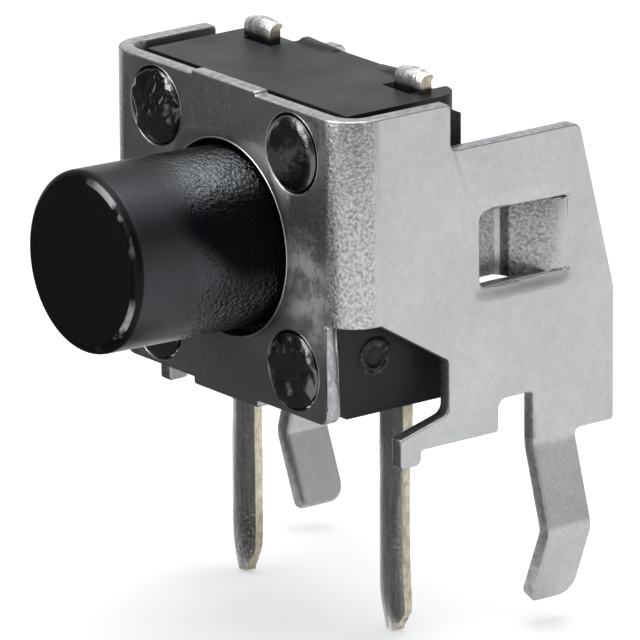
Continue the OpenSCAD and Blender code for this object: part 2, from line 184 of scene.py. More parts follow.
@dataclass
class BentPath:
    """A line of straight runs and arcs, followed by the length along it.

    Attributes:
        corners: Corners as (u, v, radius) in millimetres.
        rows: Number of edges in each arc.
        runs: Each short edge, as the length where it starts, its own length and its two ends.
        length: Length of the whole line in millimetres.
    """

    corners: Sequence[Corner]
    rows: int = 8
    runs: list[tuple[float, float, list[Vector]]] = field(default_factory=list)
    length: float = 0.0

    def __post_init__(self) -> None:
        """Splits the line into runs of short edges."""
        places = [Vector(c[:2]) for c in self.corners]
        points = [places[0]]
        for i in range(1, len(places) - 1):
            points += round_corner(
                places[i - 1], places[i], places[i + 1], self.corners[i][2], self.rows
            )
        points.append(places[-1])
        for a, b in zip(points, points[1:]):
            step = (b - a).length
            if step > 1e-6:
                self.runs.append((self.length, step, [a, b]))
                self.length += step

    def at(self, length: float) -> Vector:
        """Returns the point at a length along the line, which goes on straight past its ends."""
        run = self.runs[0]
        for candidate in self.runs:
            if candidate[0] <= length:
                run = candidate
        return run[2][0].lerp(run[2][1], (length - run[0]) / run[1])

    def marks(self) -> list[float]:
        """Returns the lengths at which the line turns."""
        return [run[0] for run in self.runs[1:]]

    def worked(self, length: float) -> float:
        """Returns 1 where the line turns and 0 on a straight run."""
        nearest = min((abs(length - mark) for mark in self.marks()), default=9.0)
        return 1.0 if nearest < 1e-3 else 0.0


def verts_in(parts: Iterable[object]) -> list[Vert]:
    """Returns the verts among the parts of a mesh."""
    return [part for part in parts if isinstance(part, Vert)]


def edges_in(parts: Iterable[object]) -> list[Edge]:
    """Returns the edges among the parts of a mesh."""
    return [part for part in parts if isinstance(part, Edge)]


def join_ring(bm: Mesh, verts: Sequence[Vert]) -> list[Edge]:
    """Joins verts with a closed ring of edges and returns the edges."""
    return [bm.edges.new((verts[i - 1], verts[i])) for i in range(len(verts))]


def ring_of(bm: Mesh, loop: Sequence[Vector]) -> list[Edge]:
    """Adds a closed ring of edges in the plane of X and Z and returns its edges."""
    return join_ring(bm, [bm.verts.new((p[0], 0, p[1])) for p in loop])


def fill_edges(bm: Mesh, rings: Sequence[list[Edge]]) -> None:
    """Fills the space between flat rings of edges with faces that look forward."""
    edges = [edge for ring in rings for edge in ring]
    bmesh.ops.triangle_fill(bm, use_beauty=True, use_dissolve=False, edges=edges, normal=FORWARD)


def prism(bm: Mesh, loop: Sequence[Vector], along: Vector) -> None:
    """Adds a closed prism.

    Args:
        bm: Mesh that takes the prism.
        loop: Its first end face, as points in space.
        along: Direction and length of the prism.
    """
    face = bm.faces.new([bm.verts.new(point) for point in loop])
    moved = bmesh.ops.extrude_face_region(bm, geom=[face], use_keep_orig=True)["geom"]
    bmesh.ops.translate(bm, verts=verts_in(moved), vec=along)


def spin(
    bm: Mesh, profile: Iterable[Sequence[float]], steps: int, closed: bool = False
) -> None:
    """Spins a profile once round the Y axis.

    Args:
        bm: Mesh that takes the form.
        profile: Points as (distance from the axis, y) in millimetres.
        steps: Number of faces round the axis.
        closed: Whether the profile is a ring instead of an open line.
    """
    verts = [bm.verts.new((point[0], point[1], 0)) for point in profile]
    if closed:
        edges = join_ring(bm, verts)
    else:
        edges = [bm.edges.new(pair) for pair in zip(verts, verts[1:])]
    bmesh.ops.spin(
        bm, geom=verts + edges, cent=(0, 0, 0), axis=(0, 1, 0),
        angle=math.tau, steps=steps, use_merge=True,
    )


def in_side_plane(loop: Iterable[Vector], x: float) -> list[Vector]:
    """Places an outline given in Y and Z at a distance along X."""
    return [Vector((x, p[0], p[1])) for p in loop]


def in_front_plane(loop: Iterable[Vector], y: float) -> list[Vector]:
    """Places an outline given in X and Z at a distance along Y."""
    return [Vector((p[0], y, p[1])) for p in loop]


def settle(bm: Mesh) -> None:
    """Rebuilds a mesh with its parts sorted by place, so that every run goes on alike."""
    bm.verts.index_update()
    ordered = sorted((*vert.co, vert.index) for vert in bm.verts)
    rank = {place[3]: i for i, place in enumerate(ordered)}

    def lowest(part: Edge | Face) -> int:
        """Returns a number that grows with the first verts of a part."""
        value = 0
        for place in sorted(rank[vert.index] for vert in part.verts)[:3]:
            value = value * len(rank) + place
        return value

    bm.edges.sort(key=lowest)
    bm.faces.sort(key=lowest)
    bm.verts.sort(key=lambda vert: rank[vert.index])
    mesh = bpy.data.meshes.new("settled")
    bm.to_mesh(mesh)
    bm.clear()
    bm.from_mesh(mesh)
    bpy.data.meshes.remove(mesh)


def sink(bm: Mesh, face: Face, loop: Sequence[Vector], depth: Vector) -> None:
    """Sinks a recess into a flat face.

    Args:
        bm: Mesh of the face.
        face: The face, which is replaced.
        loop: Outline of the recess, as points in the face.
        depth: Direction and depth of the recess.
    """
    border = list(face.edges)
    normal = face.normal.copy()
    bm.faces.remove(face)
    ring = join_ring(bm, [bm.verts.new(point) for point in loop])
    bmesh.ops.triangle_fill(
        bm, use_beauty=True, use_dissolve=False, edges=border + ring, normal=normal
    )
    deeper = bmesh.ops.extrude_edge_only(bm, edges=ring)["geom"]
    bmesh.ops.translate(bm, verts=verts_in(deeper), vec=depth)
    bmesh.ops.contextual_create(bm, geom=edges_in(deeper))
    settle(bm)


def face_towards(bm: Mesh, wanted: Vector) -> Face:
    """Returns the largest face that looks in a direction."""
    bm.normal_update()
    looking = [f for f in bm.faces if f.normal.dot(wanted) > 0.99]
    return max(looking, key=lambda f: f.calc_area())


def slice_at(
    bm: Mesh, axis: Vector, distance: float,
    wanted: Callable[[Vector], bool] = lambda point: True,
) -> None:
    """Cuts faces across an axis and marks the cut as a seam, so that a later dissolve keeps it.

    Args:
        bm: Mesh to cut.
        axis: Normal of the cut.
        distance: Place of the cut along the axis.
        wanted: Tells from a face's middle whether it is cut.
    """
    faces = [f for f in bm.faces if wanted(f.calc_center_median())]
    edges = {edge for face in faces for edge in face.edges}
    verts = {vert for face in faces for vert in face.verts}
    cut = bmesh.ops.bisect_plane(
        bm, geom=[*verts, *edges, *faces], dist=1e-5, plane_co=axis * distance, plane_no=axis
    )
    for edge in edges_in(cut["geom_cut"]):
        edge.seam = True


def face_forwards(bm: Mesh) -> None:
    """Makes the normals of an open sheet agree, with its largest forward face looking forward."""
    bmesh.ops.recalc_face_normals(bm, faces=bm.faces[:])
    bm.faces.ensure_lookup_table()
    lead = max(bm.faces, key=lambda f: f.calc_area() * abs(f.normal.dot(FORWARD)))
    if lead.normal.dot(FORWARD) < 0:
        bmesh.ops.reverse_faces(bm, faces=bm.faces[:])


def make_object(bm: Mesh, name: str, materials: Sequence[Material]) -> Piece:
    """Turns a mesh in millimetres into a smooth shaded object in metres.

    Args:
        bm: The mesh, which is freed.
        name: Name of the new object.
        materials: Materials of its slots.

    Returns:
        The new object.
    """
    bmesh.ops.scale(bm, vec=(MM, MM, MM), verts=bm.verts[:])
    for face in bm.faces:
        face.smooth = True
    mesh = bpy.data.meshes.new(name)
    bm.to_mesh(mesh)
    bm.free()
    for material in materials:
        mesh.materials.append(material)
    piece = bpy.data.objects.new(name, mesh)
    bpy.context.scene.collection.objects.link(piece)
    return piece


def add_edges_finish(piece: Piece, width: float, segments: int = 2, clamp: bool = True) -> None:
    """Rounds the sharp edges of a piece and keeps its flat faces flat.

    Args:
        piece: The object to finish.
        width: Width of the rounding in millimetres.
        segments: Number of faces across the rounding.
        clamp: Whether short edges make the rounding narrower.
    """
    bevel = piece.modifiers.new("rounded_edges", "BEVEL")
    bevel.width = width * MM
    bevel.segments = segments
    bevel.profile = 0.5
    bevel.limit_method = "ANGLE"
    bevel.angle_limit = math.radians(SHARP_ANGLE)
    bevel.use_clamp_overlap = clamp
    weighted = piece.modifiers.new("even_shading", "WEIGHTED_NORMAL")
    weighted.keep_sharp = True
    weighted.weight = SHADING_WEIGHT


def add_thickness(piece: Piece, sheet: float) -> None:
    """Gives an open sheet its thickness behind its outer skin, with cut edges in the second slot."""
    thick = piece.modifiers.new("sheet", "SOLIDIFY")
    thick.thickness = sheet * MM
    thick.offset = -1
    thick.use_even_offset = False
    thick.use_quality_normals = True
    thick.material_offset_rim = 1


@dataclass(frozen=True)
class Finish:
    """A base for finishes: a material with its own node tree.

    Attributes:
        name: Name of the material.
        color: Base colour, linear.
        roughness: Mean roughness.
        metallic: How metallic the surface is.
        ior: Index of refraction.
        tint: Colour of the mirrored light.
    """

    name: str
    color: Triple
    roughness: float
    metallic: float = 0.0
    ior: float = 1.5
    tint: Triple = (1.0, 1.0, 1.0)

    def build(self) -> Material:
        """Makes the material and returns it."""
        material = bpy.data.materials.new(self.name)
        material.use_nodes = True
        tree = material.node_tree
        shader = tree.nodes["Principled BSDF"]
        shader.inputs["Base Color"].default_value = (*self.color, 1)
        shader.inputs["Roughness"].default_value = self.roughness
        shader.inputs["Metallic"].default_value = self.metallic
        shader.inputs["IOR"].default_value = self.ior
        shader.inputs["Specular Tint"].default_value = (*self.tint, 1)
        self.dress(tree, shader)
        return material

    def dress(self, tree: Tree, shader: Node) -> None:
        """Adds the surface detail of this finish, which is none for the plain one."""

    def shaded(self, factor: float) -> Triple:
        """Returns the base colour made darker or paler by a factor, at most white."""
        red, green, blue = (min(1.0, part * factor) for part in self.color)
        return red, green, blue

    @staticmethod
    def feed(tree: Tree, socket: Socket, value: Socket | tuple[float, ...] | float) -> None:
        """Links a socket to another one, or gives it a fixed value."""
        if isinstance(value, Socket):
            tree.links.new(value, socket)
        else:
            socket.default_value = value

    @staticmethod
    def place(tree: Tree) -> Socket:
        """Returns the socket of the object coordinates."""
        return tree.nodes.new("ShaderNodeTexCoord").outputs["Object"]

    @staticmethod
    def painted(tree: Tree, name: str) -> Socket:
        """Returns the socket of a value that is stored at the mesh's points."""
        node = tree.nodes.new("ShaderNodeAttribute")
        node.attribute_name = name
        return node.outputs["Fac"]

    @staticmethod
    def noise(tree: Tree, scale: float, detail: float, rough: float = 0.5) -> Socket:
        """Adds a noise on object coordinates.

        Args:
            tree: The node tree.
            scale: Grains in a millimetre.
            detail: Number of finer layers.
            rough: Strength of the finer layers.

        Returns:
            The socket of the noise's value.
        """
        node = tree.nodes.new("ShaderNodeTexNoise")
        node.inputs["Scale"].default_value = scale / MM
        node.inputs["Detail"].default_value = detail
        node.inputs["Roughness"].default_value = rough
        tree.links.new(Finish.place(tree), node.inputs["Vector"])
        return node.outputs["Fac"]

    @staticmethod
    def distance(tree: Tree, middle: Triple, axes: Triple) -> Socket:
        """Measures the distance from a point along chosen axes.

        Args:
            tree: The node tree.
            middle: The point, in millimetres.
            axes: Weight of each axis, 0 where it doesn't count.

        Returns:
            The socket of the distance, in metres.
        """
        offset = tree.nodes.new("ShaderNodeVectorMath")
        offset.operation = "SUBTRACT"
        offset.inputs[1].default_value = tuple(v * MM for v in middle)
        chosen = tree.nodes.new("ShaderNodeVectorMath")
        chosen.operation = "MULTIPLY"
        chosen.inputs[1].default_value = axes
        length = tree.nodes.new("ShaderNodeVectorMath")
        length.operation = "LENGTH"
        tree.links.new(Finish.place(tree), offset.inputs[0])
        tree.links.new(offset.outputs["Vector"], chosen.inputs[0])
        tree.links.new(chosen.outputs["Vector"], length.inputs[0])
        return length.outputs["Value"]

    @staticmethod
    def spread(
        tree: Tree, value: Socket, low: float, high: float, to_low: float, to_high: float
    ) -> Socket:
        """Maps a value from one range to another, with its ends kept.

        Args:
            tree: The node tree.
            value: The value to map.
            low: Start of the range that it comes from.
            high: End of that range.
            to_low: Start of the range that it goes to.
            to_high: End of that range.

        Returns:
            The socket of the mapped value.
        """
        node = tree.nodes.new("ShaderNodeMapRange")
        node.inputs["From Min"].default_value = low
        node.inputs["From Max"].default_value = high
        node.inputs["To Min"].default_value = to_low
        node.inputs["To Max"].default_value = to_high
        tree.links.new(value, node.inputs["Value"])
        return node.outputs["Result"]

    @staticmethod
    def mixed(tree: Tree, factor: Socket, a: Triple | Socket, b: Triple | Socket) -> Socket:
        """Mixes two colours by a factor and returns the new socket."""
        node = tree.nodes.new("ShaderNodeMix")
        node.data_type = "RGBA"
        tree.links.new(factor, node.inputs["Factor"])
        for label, value in (("A", a), ("B", b)):
            socket = [s for s in node.inputs if s.name == label and s.type == "RGBA"][0]
            Finish.feed(tree, socket, (*value, 1) if isinstance(value, tuple) else value)
        return [s for s in node.outputs if s.type == "RGBA"][0]

    @staticmethod
    def scaled(tree: Tree, color: Triple | Socket, factor: Socket) -> Socket:
        """Multiplies a colour by a factor and returns the new socket."""
        node = tree.nodes.new("ShaderNodeVectorMath")
        node.operation = "SCALE"
        Finish.feed(tree, node.inputs[0], color)
        tree.links.new(factor, node.inputs["Scale"])
        return node.outputs["Vector"]

    @staticmethod
    def combined(tree: Tree, kind: str, a: Socket | float, b: Socket | float = 0.0) -> Socket:
        """Joins two values with a math node of the given kind and returns the new socket."""
        node = tree.nodes.new("ShaderNodeMath")
        node.operation = kind
        Finish.feed(tree, node.inputs[0], a)
        Finish.feed(tree, node.inputs[1], b)
        return node.outputs["Value"]

    @staticmethod
    def times(tree: Tree, a: Socket | float, b: Socket | float) -> Socket:
        """Returns the socket of a product."""
        return Finish.combined(tree, "MULTIPLY", a, b)

    @staticmethod
    def plus(tree: Tree, a: Socket | float, b: Socket | float) -> Socket:
        """Returns the socket of a sum."""
        return Finish.combined(tree, "ADD", a, b)

    @staticmethod
    def bumped(tree: Tree, shader: Node, height: Socket, depth: float) -> None:
        """Gives a surface relief.

        Args:
            tree: The node tree.
            shader: The surface shader.
            height: The relief, from 0 to 1.
            depth: Depth of the relief in millimetres.
        """
        node = tree.nodes.new("ShaderNodeBump")
        node.inputs["Distance"].default_value = depth * MM
        node.inputs["Strength"].default_value = 1.0
        tree.links.new(height, node.inputs["Height"])
        tree.links.new(node.outputs["Normal"], shader.inputs["Normal"])


@dataclass(frozen=True)
class Glow(Finish):
    """Paper that also gives off white light.

    Attributes:
        level: Strength of the light.
        mirror: How strongly it mirrors, 0.5 for common paper.
    """

    level: float = 0.0
    mirror: float = 0.5

    def dress(self, tree: Tree, shader: Node) -> None:
        """Sets the light and the mirroring."""
        shader.inputs["Specular IOR Level"].default_value = self.mirror
        shader.inputs["Emission Color"].default_value = (1, 1, 1, 1)
        shader.inputs["Emission Strength"].default_value = self.level


@dataclass(frozen=True)
class TinPlate(Finish):
    """Dull tin plating that turns coarse and bright where the sheet was bent, darkened where shade is
    painted.

    Attributes:
        grain: Depth of the fine grain in millimetres.
        speckle: Depth of the coarse grain at the bends in millimetres.
        cover: How much of the colour the painted shade takes away where it is full.
        rubbed_at: Middle of a rubbed place, in millimetres.
        rubbed_r: Its radius in millimetres, or 0 for none.
    """

    grain: float = 0.0012
    speckle: float = 0.012
    cover: float = 0.9
    rubbed_at: Triple = (0.0, 0.0, 0.0)
    rubbed_r: float = 0.0

    def dress(self, tree: Tree, shader: Node) -> None:
        """Adds fine grain, faint clouds, speckles at the bends and painted shade."""
        bent = self.painted(tree, "worked")
        fine = self.noise(tree, 22, 3, 0.6)
        coarse = self.noise(tree, 16, 3, 0.55)
        clouds = self.spread(tree, self.noise(tree, 0.55, 3), 0.3, 0.7, 0.94, 1.05)
        mottle = self.spread(tree, self.noise(tree, 5, 3, 0.65), 0.3, 0.7, 0.94, 1.05)
        pepper = self.spread(tree, fine, 0.3, 0.7, 0.93, 1.07)
        flat = self.times(tree, self.times(tree, clouds, mottle), pepper)
        speck = self.spread(tree, coarse, 0.36, 0.64, 0.6, 1.2)
        speck_part = self.times(tree, self.combined(tree, "SUBTRACT", speck, 1.0), bent)
        # Painted shade: the colour is darkened by the shade stored at the mesh's points.
        left = self.spread(tree, self.painted(tree, "painted_shade"), 0.0, 1.0, 1.0, 1.0 - self.cover)
        level = self.times(tree, self.plus(tree, flat, speck_part), left)
        tree.links.new(self.scaled(tree, self.color, level), shader.inputs["Base Color"])
        gloss = self.spread(tree, fine, 0.3, 0.7, self.roughness - 0.05, self.roughness + 0.05)
        if self.rubbed_r > 0:
            away = self.distance(tree, self.rubbed_at, (1, 1, 0.7))
            rub = self.spread(tree, away, 0.2 * self.rubbed_r * MM, self.rubbed_r * MM, 0.5, 0.0)
            patchy = self.spread(tree, self.noise(tree, 2.2, 4, 0.65), 0.4, 0.6, 0.3, 1.0)
            gloss = self.plus(tree, gloss, self.times(tree, rub, patchy))
        tree.links.new(gloss, shader.inputs["Roughness"])
        fine_part = self.times(tree, fine, self.grain / self.speckle)
        coarse_part = self.times(tree, coarse, bent)
        self.bumped(tree, shader, self.plus(tree, fine_part, coarse_part), self.speckle)


@dataclass(frozen=True)
class LeadPlate(TinPlate):
    """Dipped plating with streaks along the lead.

    Attributes:
        streak_scale: Streaks in a millimetre.
        streak_stretch: Their scale along the lead against that across it.
    """

    streak_scale: float = 7.0
    streak_stretch: float = 0.1

    def dress(self, tree: Tree, shader: Node) -> None:
        """Adds the streaks to the dull plating."""
        super().dress(tree, shader)
        mapping = tree.nodes.new("ShaderNodeMapping")
        mapping.inputs["Scale"].default_value = (1, 1, self.streak_stretch)
        streaks = tree.nodes.new("ShaderNodeTexNoise")
        streaks.inputs["Scale"].default_value = self.streak_scale / MM
        streaks.inputs["Detail"].default_value = 4
        tree.links.new(self.place(tree), mapping.inputs["Vector"])
        tree.links.new(mapping.outputs["Vector"], streaks.inputs["Vector"])
        level = self.spread(tree, streaks.outputs["Fac"], 0.35, 0.65, 0.7, 1.2)
        before = shader.inputs["Base Color"].links[0].from_socket
        tree.links.new(self.scaled(tree, before, level), shader.inputs["Base Color"])


@dataclass(frozen=True)
class CutEdge(Finish):
    """Sheared edge of a sheet, with a coarse torn grain.

    Attributes:
        grain: Depth of the grain in millimetres.
    """

    grain: float = 0.006

    def dress(self, tree: Tree, shader: Node) -> None:
        """Adds the torn grain, uneven tone and painted shade."""
        torn = self.noise(tree, 7, 4, 0.6)
        wide = self.spread(tree, torn, 0.35, 0.65, 0.0, 1.0)
        tone = self.mixed(tree, wide, self.shaded(0.66), self.shaded(1.12))
        # Painted shade: the cut edge turns near black where shade is stored on the mesh.
        tone = self.mixed(tree, self.painted(tree, "painted_shade"), tone, self.shaded(0.2))
        tree.links.new(tone, shader.inputs["Base Color"])
        self.bumped(tree, shader, torn, self.grain)


@dataclass(frozen=True)
class Moulding(Finish):
    """Black moulded plastic with a fine spark-eroded grain.

    Attributes:
        grain: Depth of the grain in millimetres.
        grain_scale: Grains in a millimetre.
        mark_r: Radius of the rough ring on both sides in millimetres, or 0 for none.
        mark_at: Middle of the ring in millimetres.
        mark_color: Colour of its palest places.
        mark_depth: Depth of its relief against that of the grain.
    """

    grain: float = 0.004
    grain_scale: float = 14.0
    mark_r: float = 0.27
    mark_at: Triple = (0.0, -1.07, 2.0)
    mark_color: Triple = (0.07, 0.07, 0.073)
    mark_depth: float = 24.0

    def dress(self, tree: Tree, shader: Node) -> None:
        """Adds the grain, uneven gloss and tone, and the rough ring."""
        relief = self.noise(tree, self.grain_scale, 4, 0.6)
        clouds = self.noise(tree, 0.7, 2)
        gloss = self.spread(tree, clouds, 0.3, 0.7, self.roughness - 0.06, self.roughness + 0.06)
        tree.links.new(gloss, shader.inputs["Roughness"])
        tone = self.mixed(tree, clouds, self.shaded(0.85), self.shaded(1.2))
        if self.mark_r > 0:
            away = self.distance(tree, self.mark_at, (0, 1, 1))
            beside = self.combined(tree, "SUBTRACT", away, self.mark_r * MM)
            off = self.combined(tree, "ABSOLUTE", beside)
            ring = self.spread(tree, off, 0.06 * MM, 0.14 * MM, 1.0, 0.0)
            rough = self.times(tree, self.noise(tree, 10, 3, 0.6), ring)
            relief = self.plus(tree, relief, self.times(tree, rough, self.mark_depth))
            pale = self.spread(tree, rough, 0.42, 0.62, 0.0, 0.9)
            tone = self.mixed(tree, pale, tone, self.mark_color)
        tree.links.new(tone, shader.inputs["Base Color"])
        self.bumped(tree, shader, relief, self.grain)


@dataclass(frozen=True)
class PlungerSkin(Finish):
    """Satin black plastic with a rough band where the plunger leaves the plate, a painted highlight on
    the rim of its tip and painted sheen.

    Attributes:
        band_start: Place along Y where the rough band begins, in millimetres.
        band_end: Place along Y where it is full, in millimetres.
        band_roughness: Mean roughness in the full band.
        band_ior: Index of refraction there.
        rim_highlight_color: Colour of the highlight painted on the rim.
        grain: Depth of the band's grain in millimetres.
    """

    band_start: float = -4.2
    band_end: float = -3.5
    band_roughness: float = 0.15
    band_ior: float = 1.62
    rim_highlight_color: Triple = (0.45, 0.46, 0.47)
    grain: float = 0.05

    def dress(self, tree: Tree, shader: Node) -> None:
        """Adds the rough band, the painted highlight on the rim, the painted sheen and a faint grain
        elsewhere.
        """
        split = tree.nodes.new("ShaderNodeSeparateXYZ")
        tree.links.new(self.place(tree), split.inputs["Vector"])
        start = self.band_start * MM
        band = self.spread(tree, split.outputs["Y"], start, self.band_end * MM, 0.0, 1.0)
        broad = self.spread(tree, self.noise(tree, 0.8, 2), 0.4, 0.6, 0.8, 1.5)
        skin = self.times(tree, self.noise(tree, 16, 3, 0.6), 0.08)
        rough = self.times(tree, self.times(tree, self.noise(tree, 13, 2, 0.5), band), broad)
        gloss = self.spread(tree, band, 0.0, 1.0, self.roughness, self.band_roughness)
        tree.links.new(gloss, shader.inputs["Roughness"])
        bending = self.spread(tree, band, 0.0, 1.0, self.ior, self.band_ior)
        tree.links.new(bending, shader.inputs["IOR"])
        # Painted sheen: the stored level sets how strongly each place mirrors.
        tree.links.new(self.painted(tree, "painted_sheen"), shader.inputs["Specular IOR Level"])
        # Painted highlight: pale arcs on the tip's rim, broken up by noise.
        patchy = self.spread(tree, self.noise(tree, 1.6, 4, 0.6), 0.44, 0.6, 0.0, 1.0)
        rim_highlight = self.times(tree, self.painted(tree, "painted_highlight"), patchy)
        tone = self.mixed(tree, rim_highlight, self.color, self.rim_highlight_color)
        tree.links.new(tone, shader.inputs["Base Color"])
        self.bumped(tree, shader, self.plus(tree, rough, skin), self.grain)


@dataclass(frozen=True)
class Finishes:
    """All finishes of the switch.

    Attributes:
        tin: Faces of the bracket's sheet.
        tin_cut: Its cut edges.
        tin_lip_highlight: Lips of its holes, paler than the plate as a painted highlight.
        base: Block and rims of the base.
        post: Posts of the base, with their melted heads.
        plunger: Skin of the plunger.
        dome: Steel of the snap dome.
        lead: Plated faces of the leads.
        lead_cut: Their cut edges.
    """

    tin: Finish = TinPlate(
        "tin_plate", (0.44, 0.447, 0.452), 0.35, 1.0, rubbed_at=(2.4, -2.2, 3.2), rubbed_r=1.0
    )
    tin_cut: Finish = CutEdge("tin_plate_cut_edge", (0.43, 0.44, 0.45), 0.4, 1.0)
    # Paler than the plate: a painted highlight along the hole edges.
    tin_lip_highlight: Finish = Finish("tin_plate_hole_lip_highlight", (0.62, 0.62, 0.6), 0.32, 1.0)
    base: Finish = Moulding(
        "base_moulding", (0.0055, 0.006, 0.007), 0.44, ior=1.34, tint=(0.9, 0.95, 1.0)
    )
    post: Finish = Moulding(
        "melted_post", (0.005, 0.005, 0.0055), 0.18, ior=2.0, tint=(0.95, 0.98, 1.0),
        grain=0.014, grain_scale=6.0, mark_r=0.0,
    )
    plunger: Finish = PlungerSkin(
        "plunger_skin", (0.0028, 0.003, 0.004), 0.34, tint=(0.88, 0.94, 1.0)
    )
    dome: Finish = TinPlate("dome_steel", (0.66, 0.65, 0.63), 0.28, 1.0)
    lead: Finish = LeadPlate(
        "lead_plating", (0.74, 0.73, 0.71), 0.34, 1.0, grain=0.003, speckle=0.03
    )
    lead_cut: Finish = CutEdge("lead_cut_edge", (0.55, 0.5, 0.38), 0.36, 1.0)


@dataclass
class Bracket:
    """Stamped bracket: one sheet with its bends, retaining tabs, feet and snap-in legs.

    Lengths are in millimetres. Y and Z are those of the frame. The right half is modelled as a
    flat blank, bent and then mirrored.

    Attributes:
        tin: Material of the sheet.
        cut: Material of its cut edges.
        lip_highlight: Material of the lips of its holes, paler than the sheet as a painted highlight.
        front_y: Outer face of the front plate, from the frame.
        rear_y: Rear edge of the wings, from the frame.
        leg_tip_z: Lowest point of the legs, from the frame.
        half_w: Half the outer width over the wings.
        sheet: Thickness of the sheet.
        bend_r: Outer radius of the corner bends.
        plate_bottom: Lower edge of the front plate.
        plate_top: Upper edge of the front plate and the cheeks.
        plate_half_w: Half the width of the plate under the cheeks.
        nub_half_w: Half the width of the low steps in the middle of the plate's edges.
        top_nub: Height of the upper step.
        bottom_nub: Height of the lower step.
        hole_r: Radius of the plunger's hole.
        post_half_pitch: Distance of the post holes from the plunger's axis, across and up.
        post_hole_r: Radius of the post holes.
        cheek_y: Rear edge of the cheeks.
        wing_top: Upper edge of the wings.
        wing_top_y: Where the upper edge ends and the slope begins.
        slope_z: Where the slope meets the rear edge.
        cutout_top: Upper end of the cut-out in the cheek.
        cutout_y: Rear end of the cut-out.
        cutout_mouth_y: Where the cut-out's slanted upper edge begins.
        cutout_z: Heights between which its rear end stands upright.
        foot_y: Front and rear of the foot at the end of the arm.
        foot_top: Height of the arm's front end.
        arm_z: Underside of the arm, behind the foot.
        belly_y: Front of the raised edge beside the leg.
        belly_z: Height of that edge.
        leg_front_y: Front edge of the legs.
        leg_back_y: Rear edge of the legs.
        leg_bulge: How far the knees of the legs stand out of the wings.
        leg_bulge_z: Height of the knees.
        leg_tip_in: How far the tips stand inside the wings' faces.
        window_front_y: Front edge of the window.
        hinge_y: Rear edge of the window, where the tab is bent.
        window_z: Lower and upper edge of the window.
        tab_gap: Gap over and under the tab at its root.
        tab_clear: Gap before the tab's end in the flat blank.
        tab_spread: How much further each side of the tab reaches when it is bent.
        tab_swell: How much more it reaches between its root and its kink.
        tab_joggle: How far inwards the tab's end lies.
        tab_kink_y: Where the slanted part of the tab meets its end.
        tab_end_y: Front end of the bent tab.
        rim_w: Width of the window's soft rim.
        rim_in: How far the rim is pressed in.
        rim_in_more: How much more it is pressed in low in the middle.
    """

    tin: Material
    cut: Material
    lip_highlight: Material
    front_y: float
    rear_y: float
    leg_tip_z: float
    half_w: float = 3.65
    sheet: float = 0.3
    bend_r: float = 0.7
    plate_bottom: float = 0.9
    plate_top: float = 6.7
    plate_half_w: float = 3.07
    nub_half_w: float = 0.975
    top_nub: float = 0.07
    bottom_nub: float = 0.13
    hole_r: float = 1.85
    post_half_pitch: float = 2.05
    post_hole_r: float = 0.75
    cheek_y: float = 0.2
    wing_top: float = 5.82
    wing_top_y: float = 3.2
    slope_z: float = 2.58
    cutout_top: float = 2.8
    cutout_y: float = 0.15
    cutout_mouth_y: float = -1.4
    cutout_z: tuple[float, float] = (0.86, 1.86)
    foot_y: tuple[float, float] = (-0.97, -0.5)
    foot_top: float = 0.56
    arm_z: float = 0.28
    belly_y: float = 1.3
    belly_z: float = 0.9
    leg_front_y: float = 2.1
    leg_back_y: float = 3.1
    leg_bulge: float = 0.48
    leg_bulge_z: float = -1.75
    leg_tip_in: float = 0.1
    window_front_y: float = 0.93
    hinge_y: float = 2.85
    window_z: tuple[float, float] = (3.1, 4.5)
    tab_gap: float = 0.02
    tab_clear: float = 0.1
    tab_spread: float = 0.05
    tab_swell: float = 0.13
    tab_joggle: float = 0.6
    tab_kink_y: float = 1.86
    tab_end_y: float = 1.06
    rim_w: float = 0.32
    rim_in: float = 0.08
    rim_in_more: float = 0.05

    def __post_init__(self) -> None:
        """Works out the plunger's axis and the bent lines that the flat blank follows."""
        self.axis_z = (self.plate_bottom + self.plate_top) / 2
        self.wall = BentPath((
            (0, self.front_y, 0),
            (self.half_w, self.front_y, self.bend_r),
            (self.half_w, self.rear_y, 0),
        ), 10)
        self.tab = BentPath((
            (self.half_w, self.hinge_y, 0),
            (self.half_w, self.hinge_y - 0.16, 0.4),
            (self.half_w - self.tab_joggle, self.tab_kink_y, 0.14),
            (self.half_w - self.tab_joggle, self.tab_end_y, 0),
        ), 6)
        self.stretch = self.tab.length / (self.hinge_y - self.window_front_y - self.tab_clear)
        self.leg = BentPath((
            (self.half_w, 0, 0),
            (self.half_w, -0.12, 0.7),
            (self.half_w + self.leg_bulge, self.leg_bulge_z, 0.5),
            (self.half_w - self.leg_tip_in, self.leg_tip_z, 0),
        ), 7)

    def along(self, y: float) -> float:
        """Returns the place in the flat blank of a point of the wing at y."""
        return self.wall.length - (self.rear_y - y)

    def y_at(self, s: float) -> float:
        """Returns y of the wing at a place in the flat blank."""
        return self.rear_y - (self.wall.length - s)

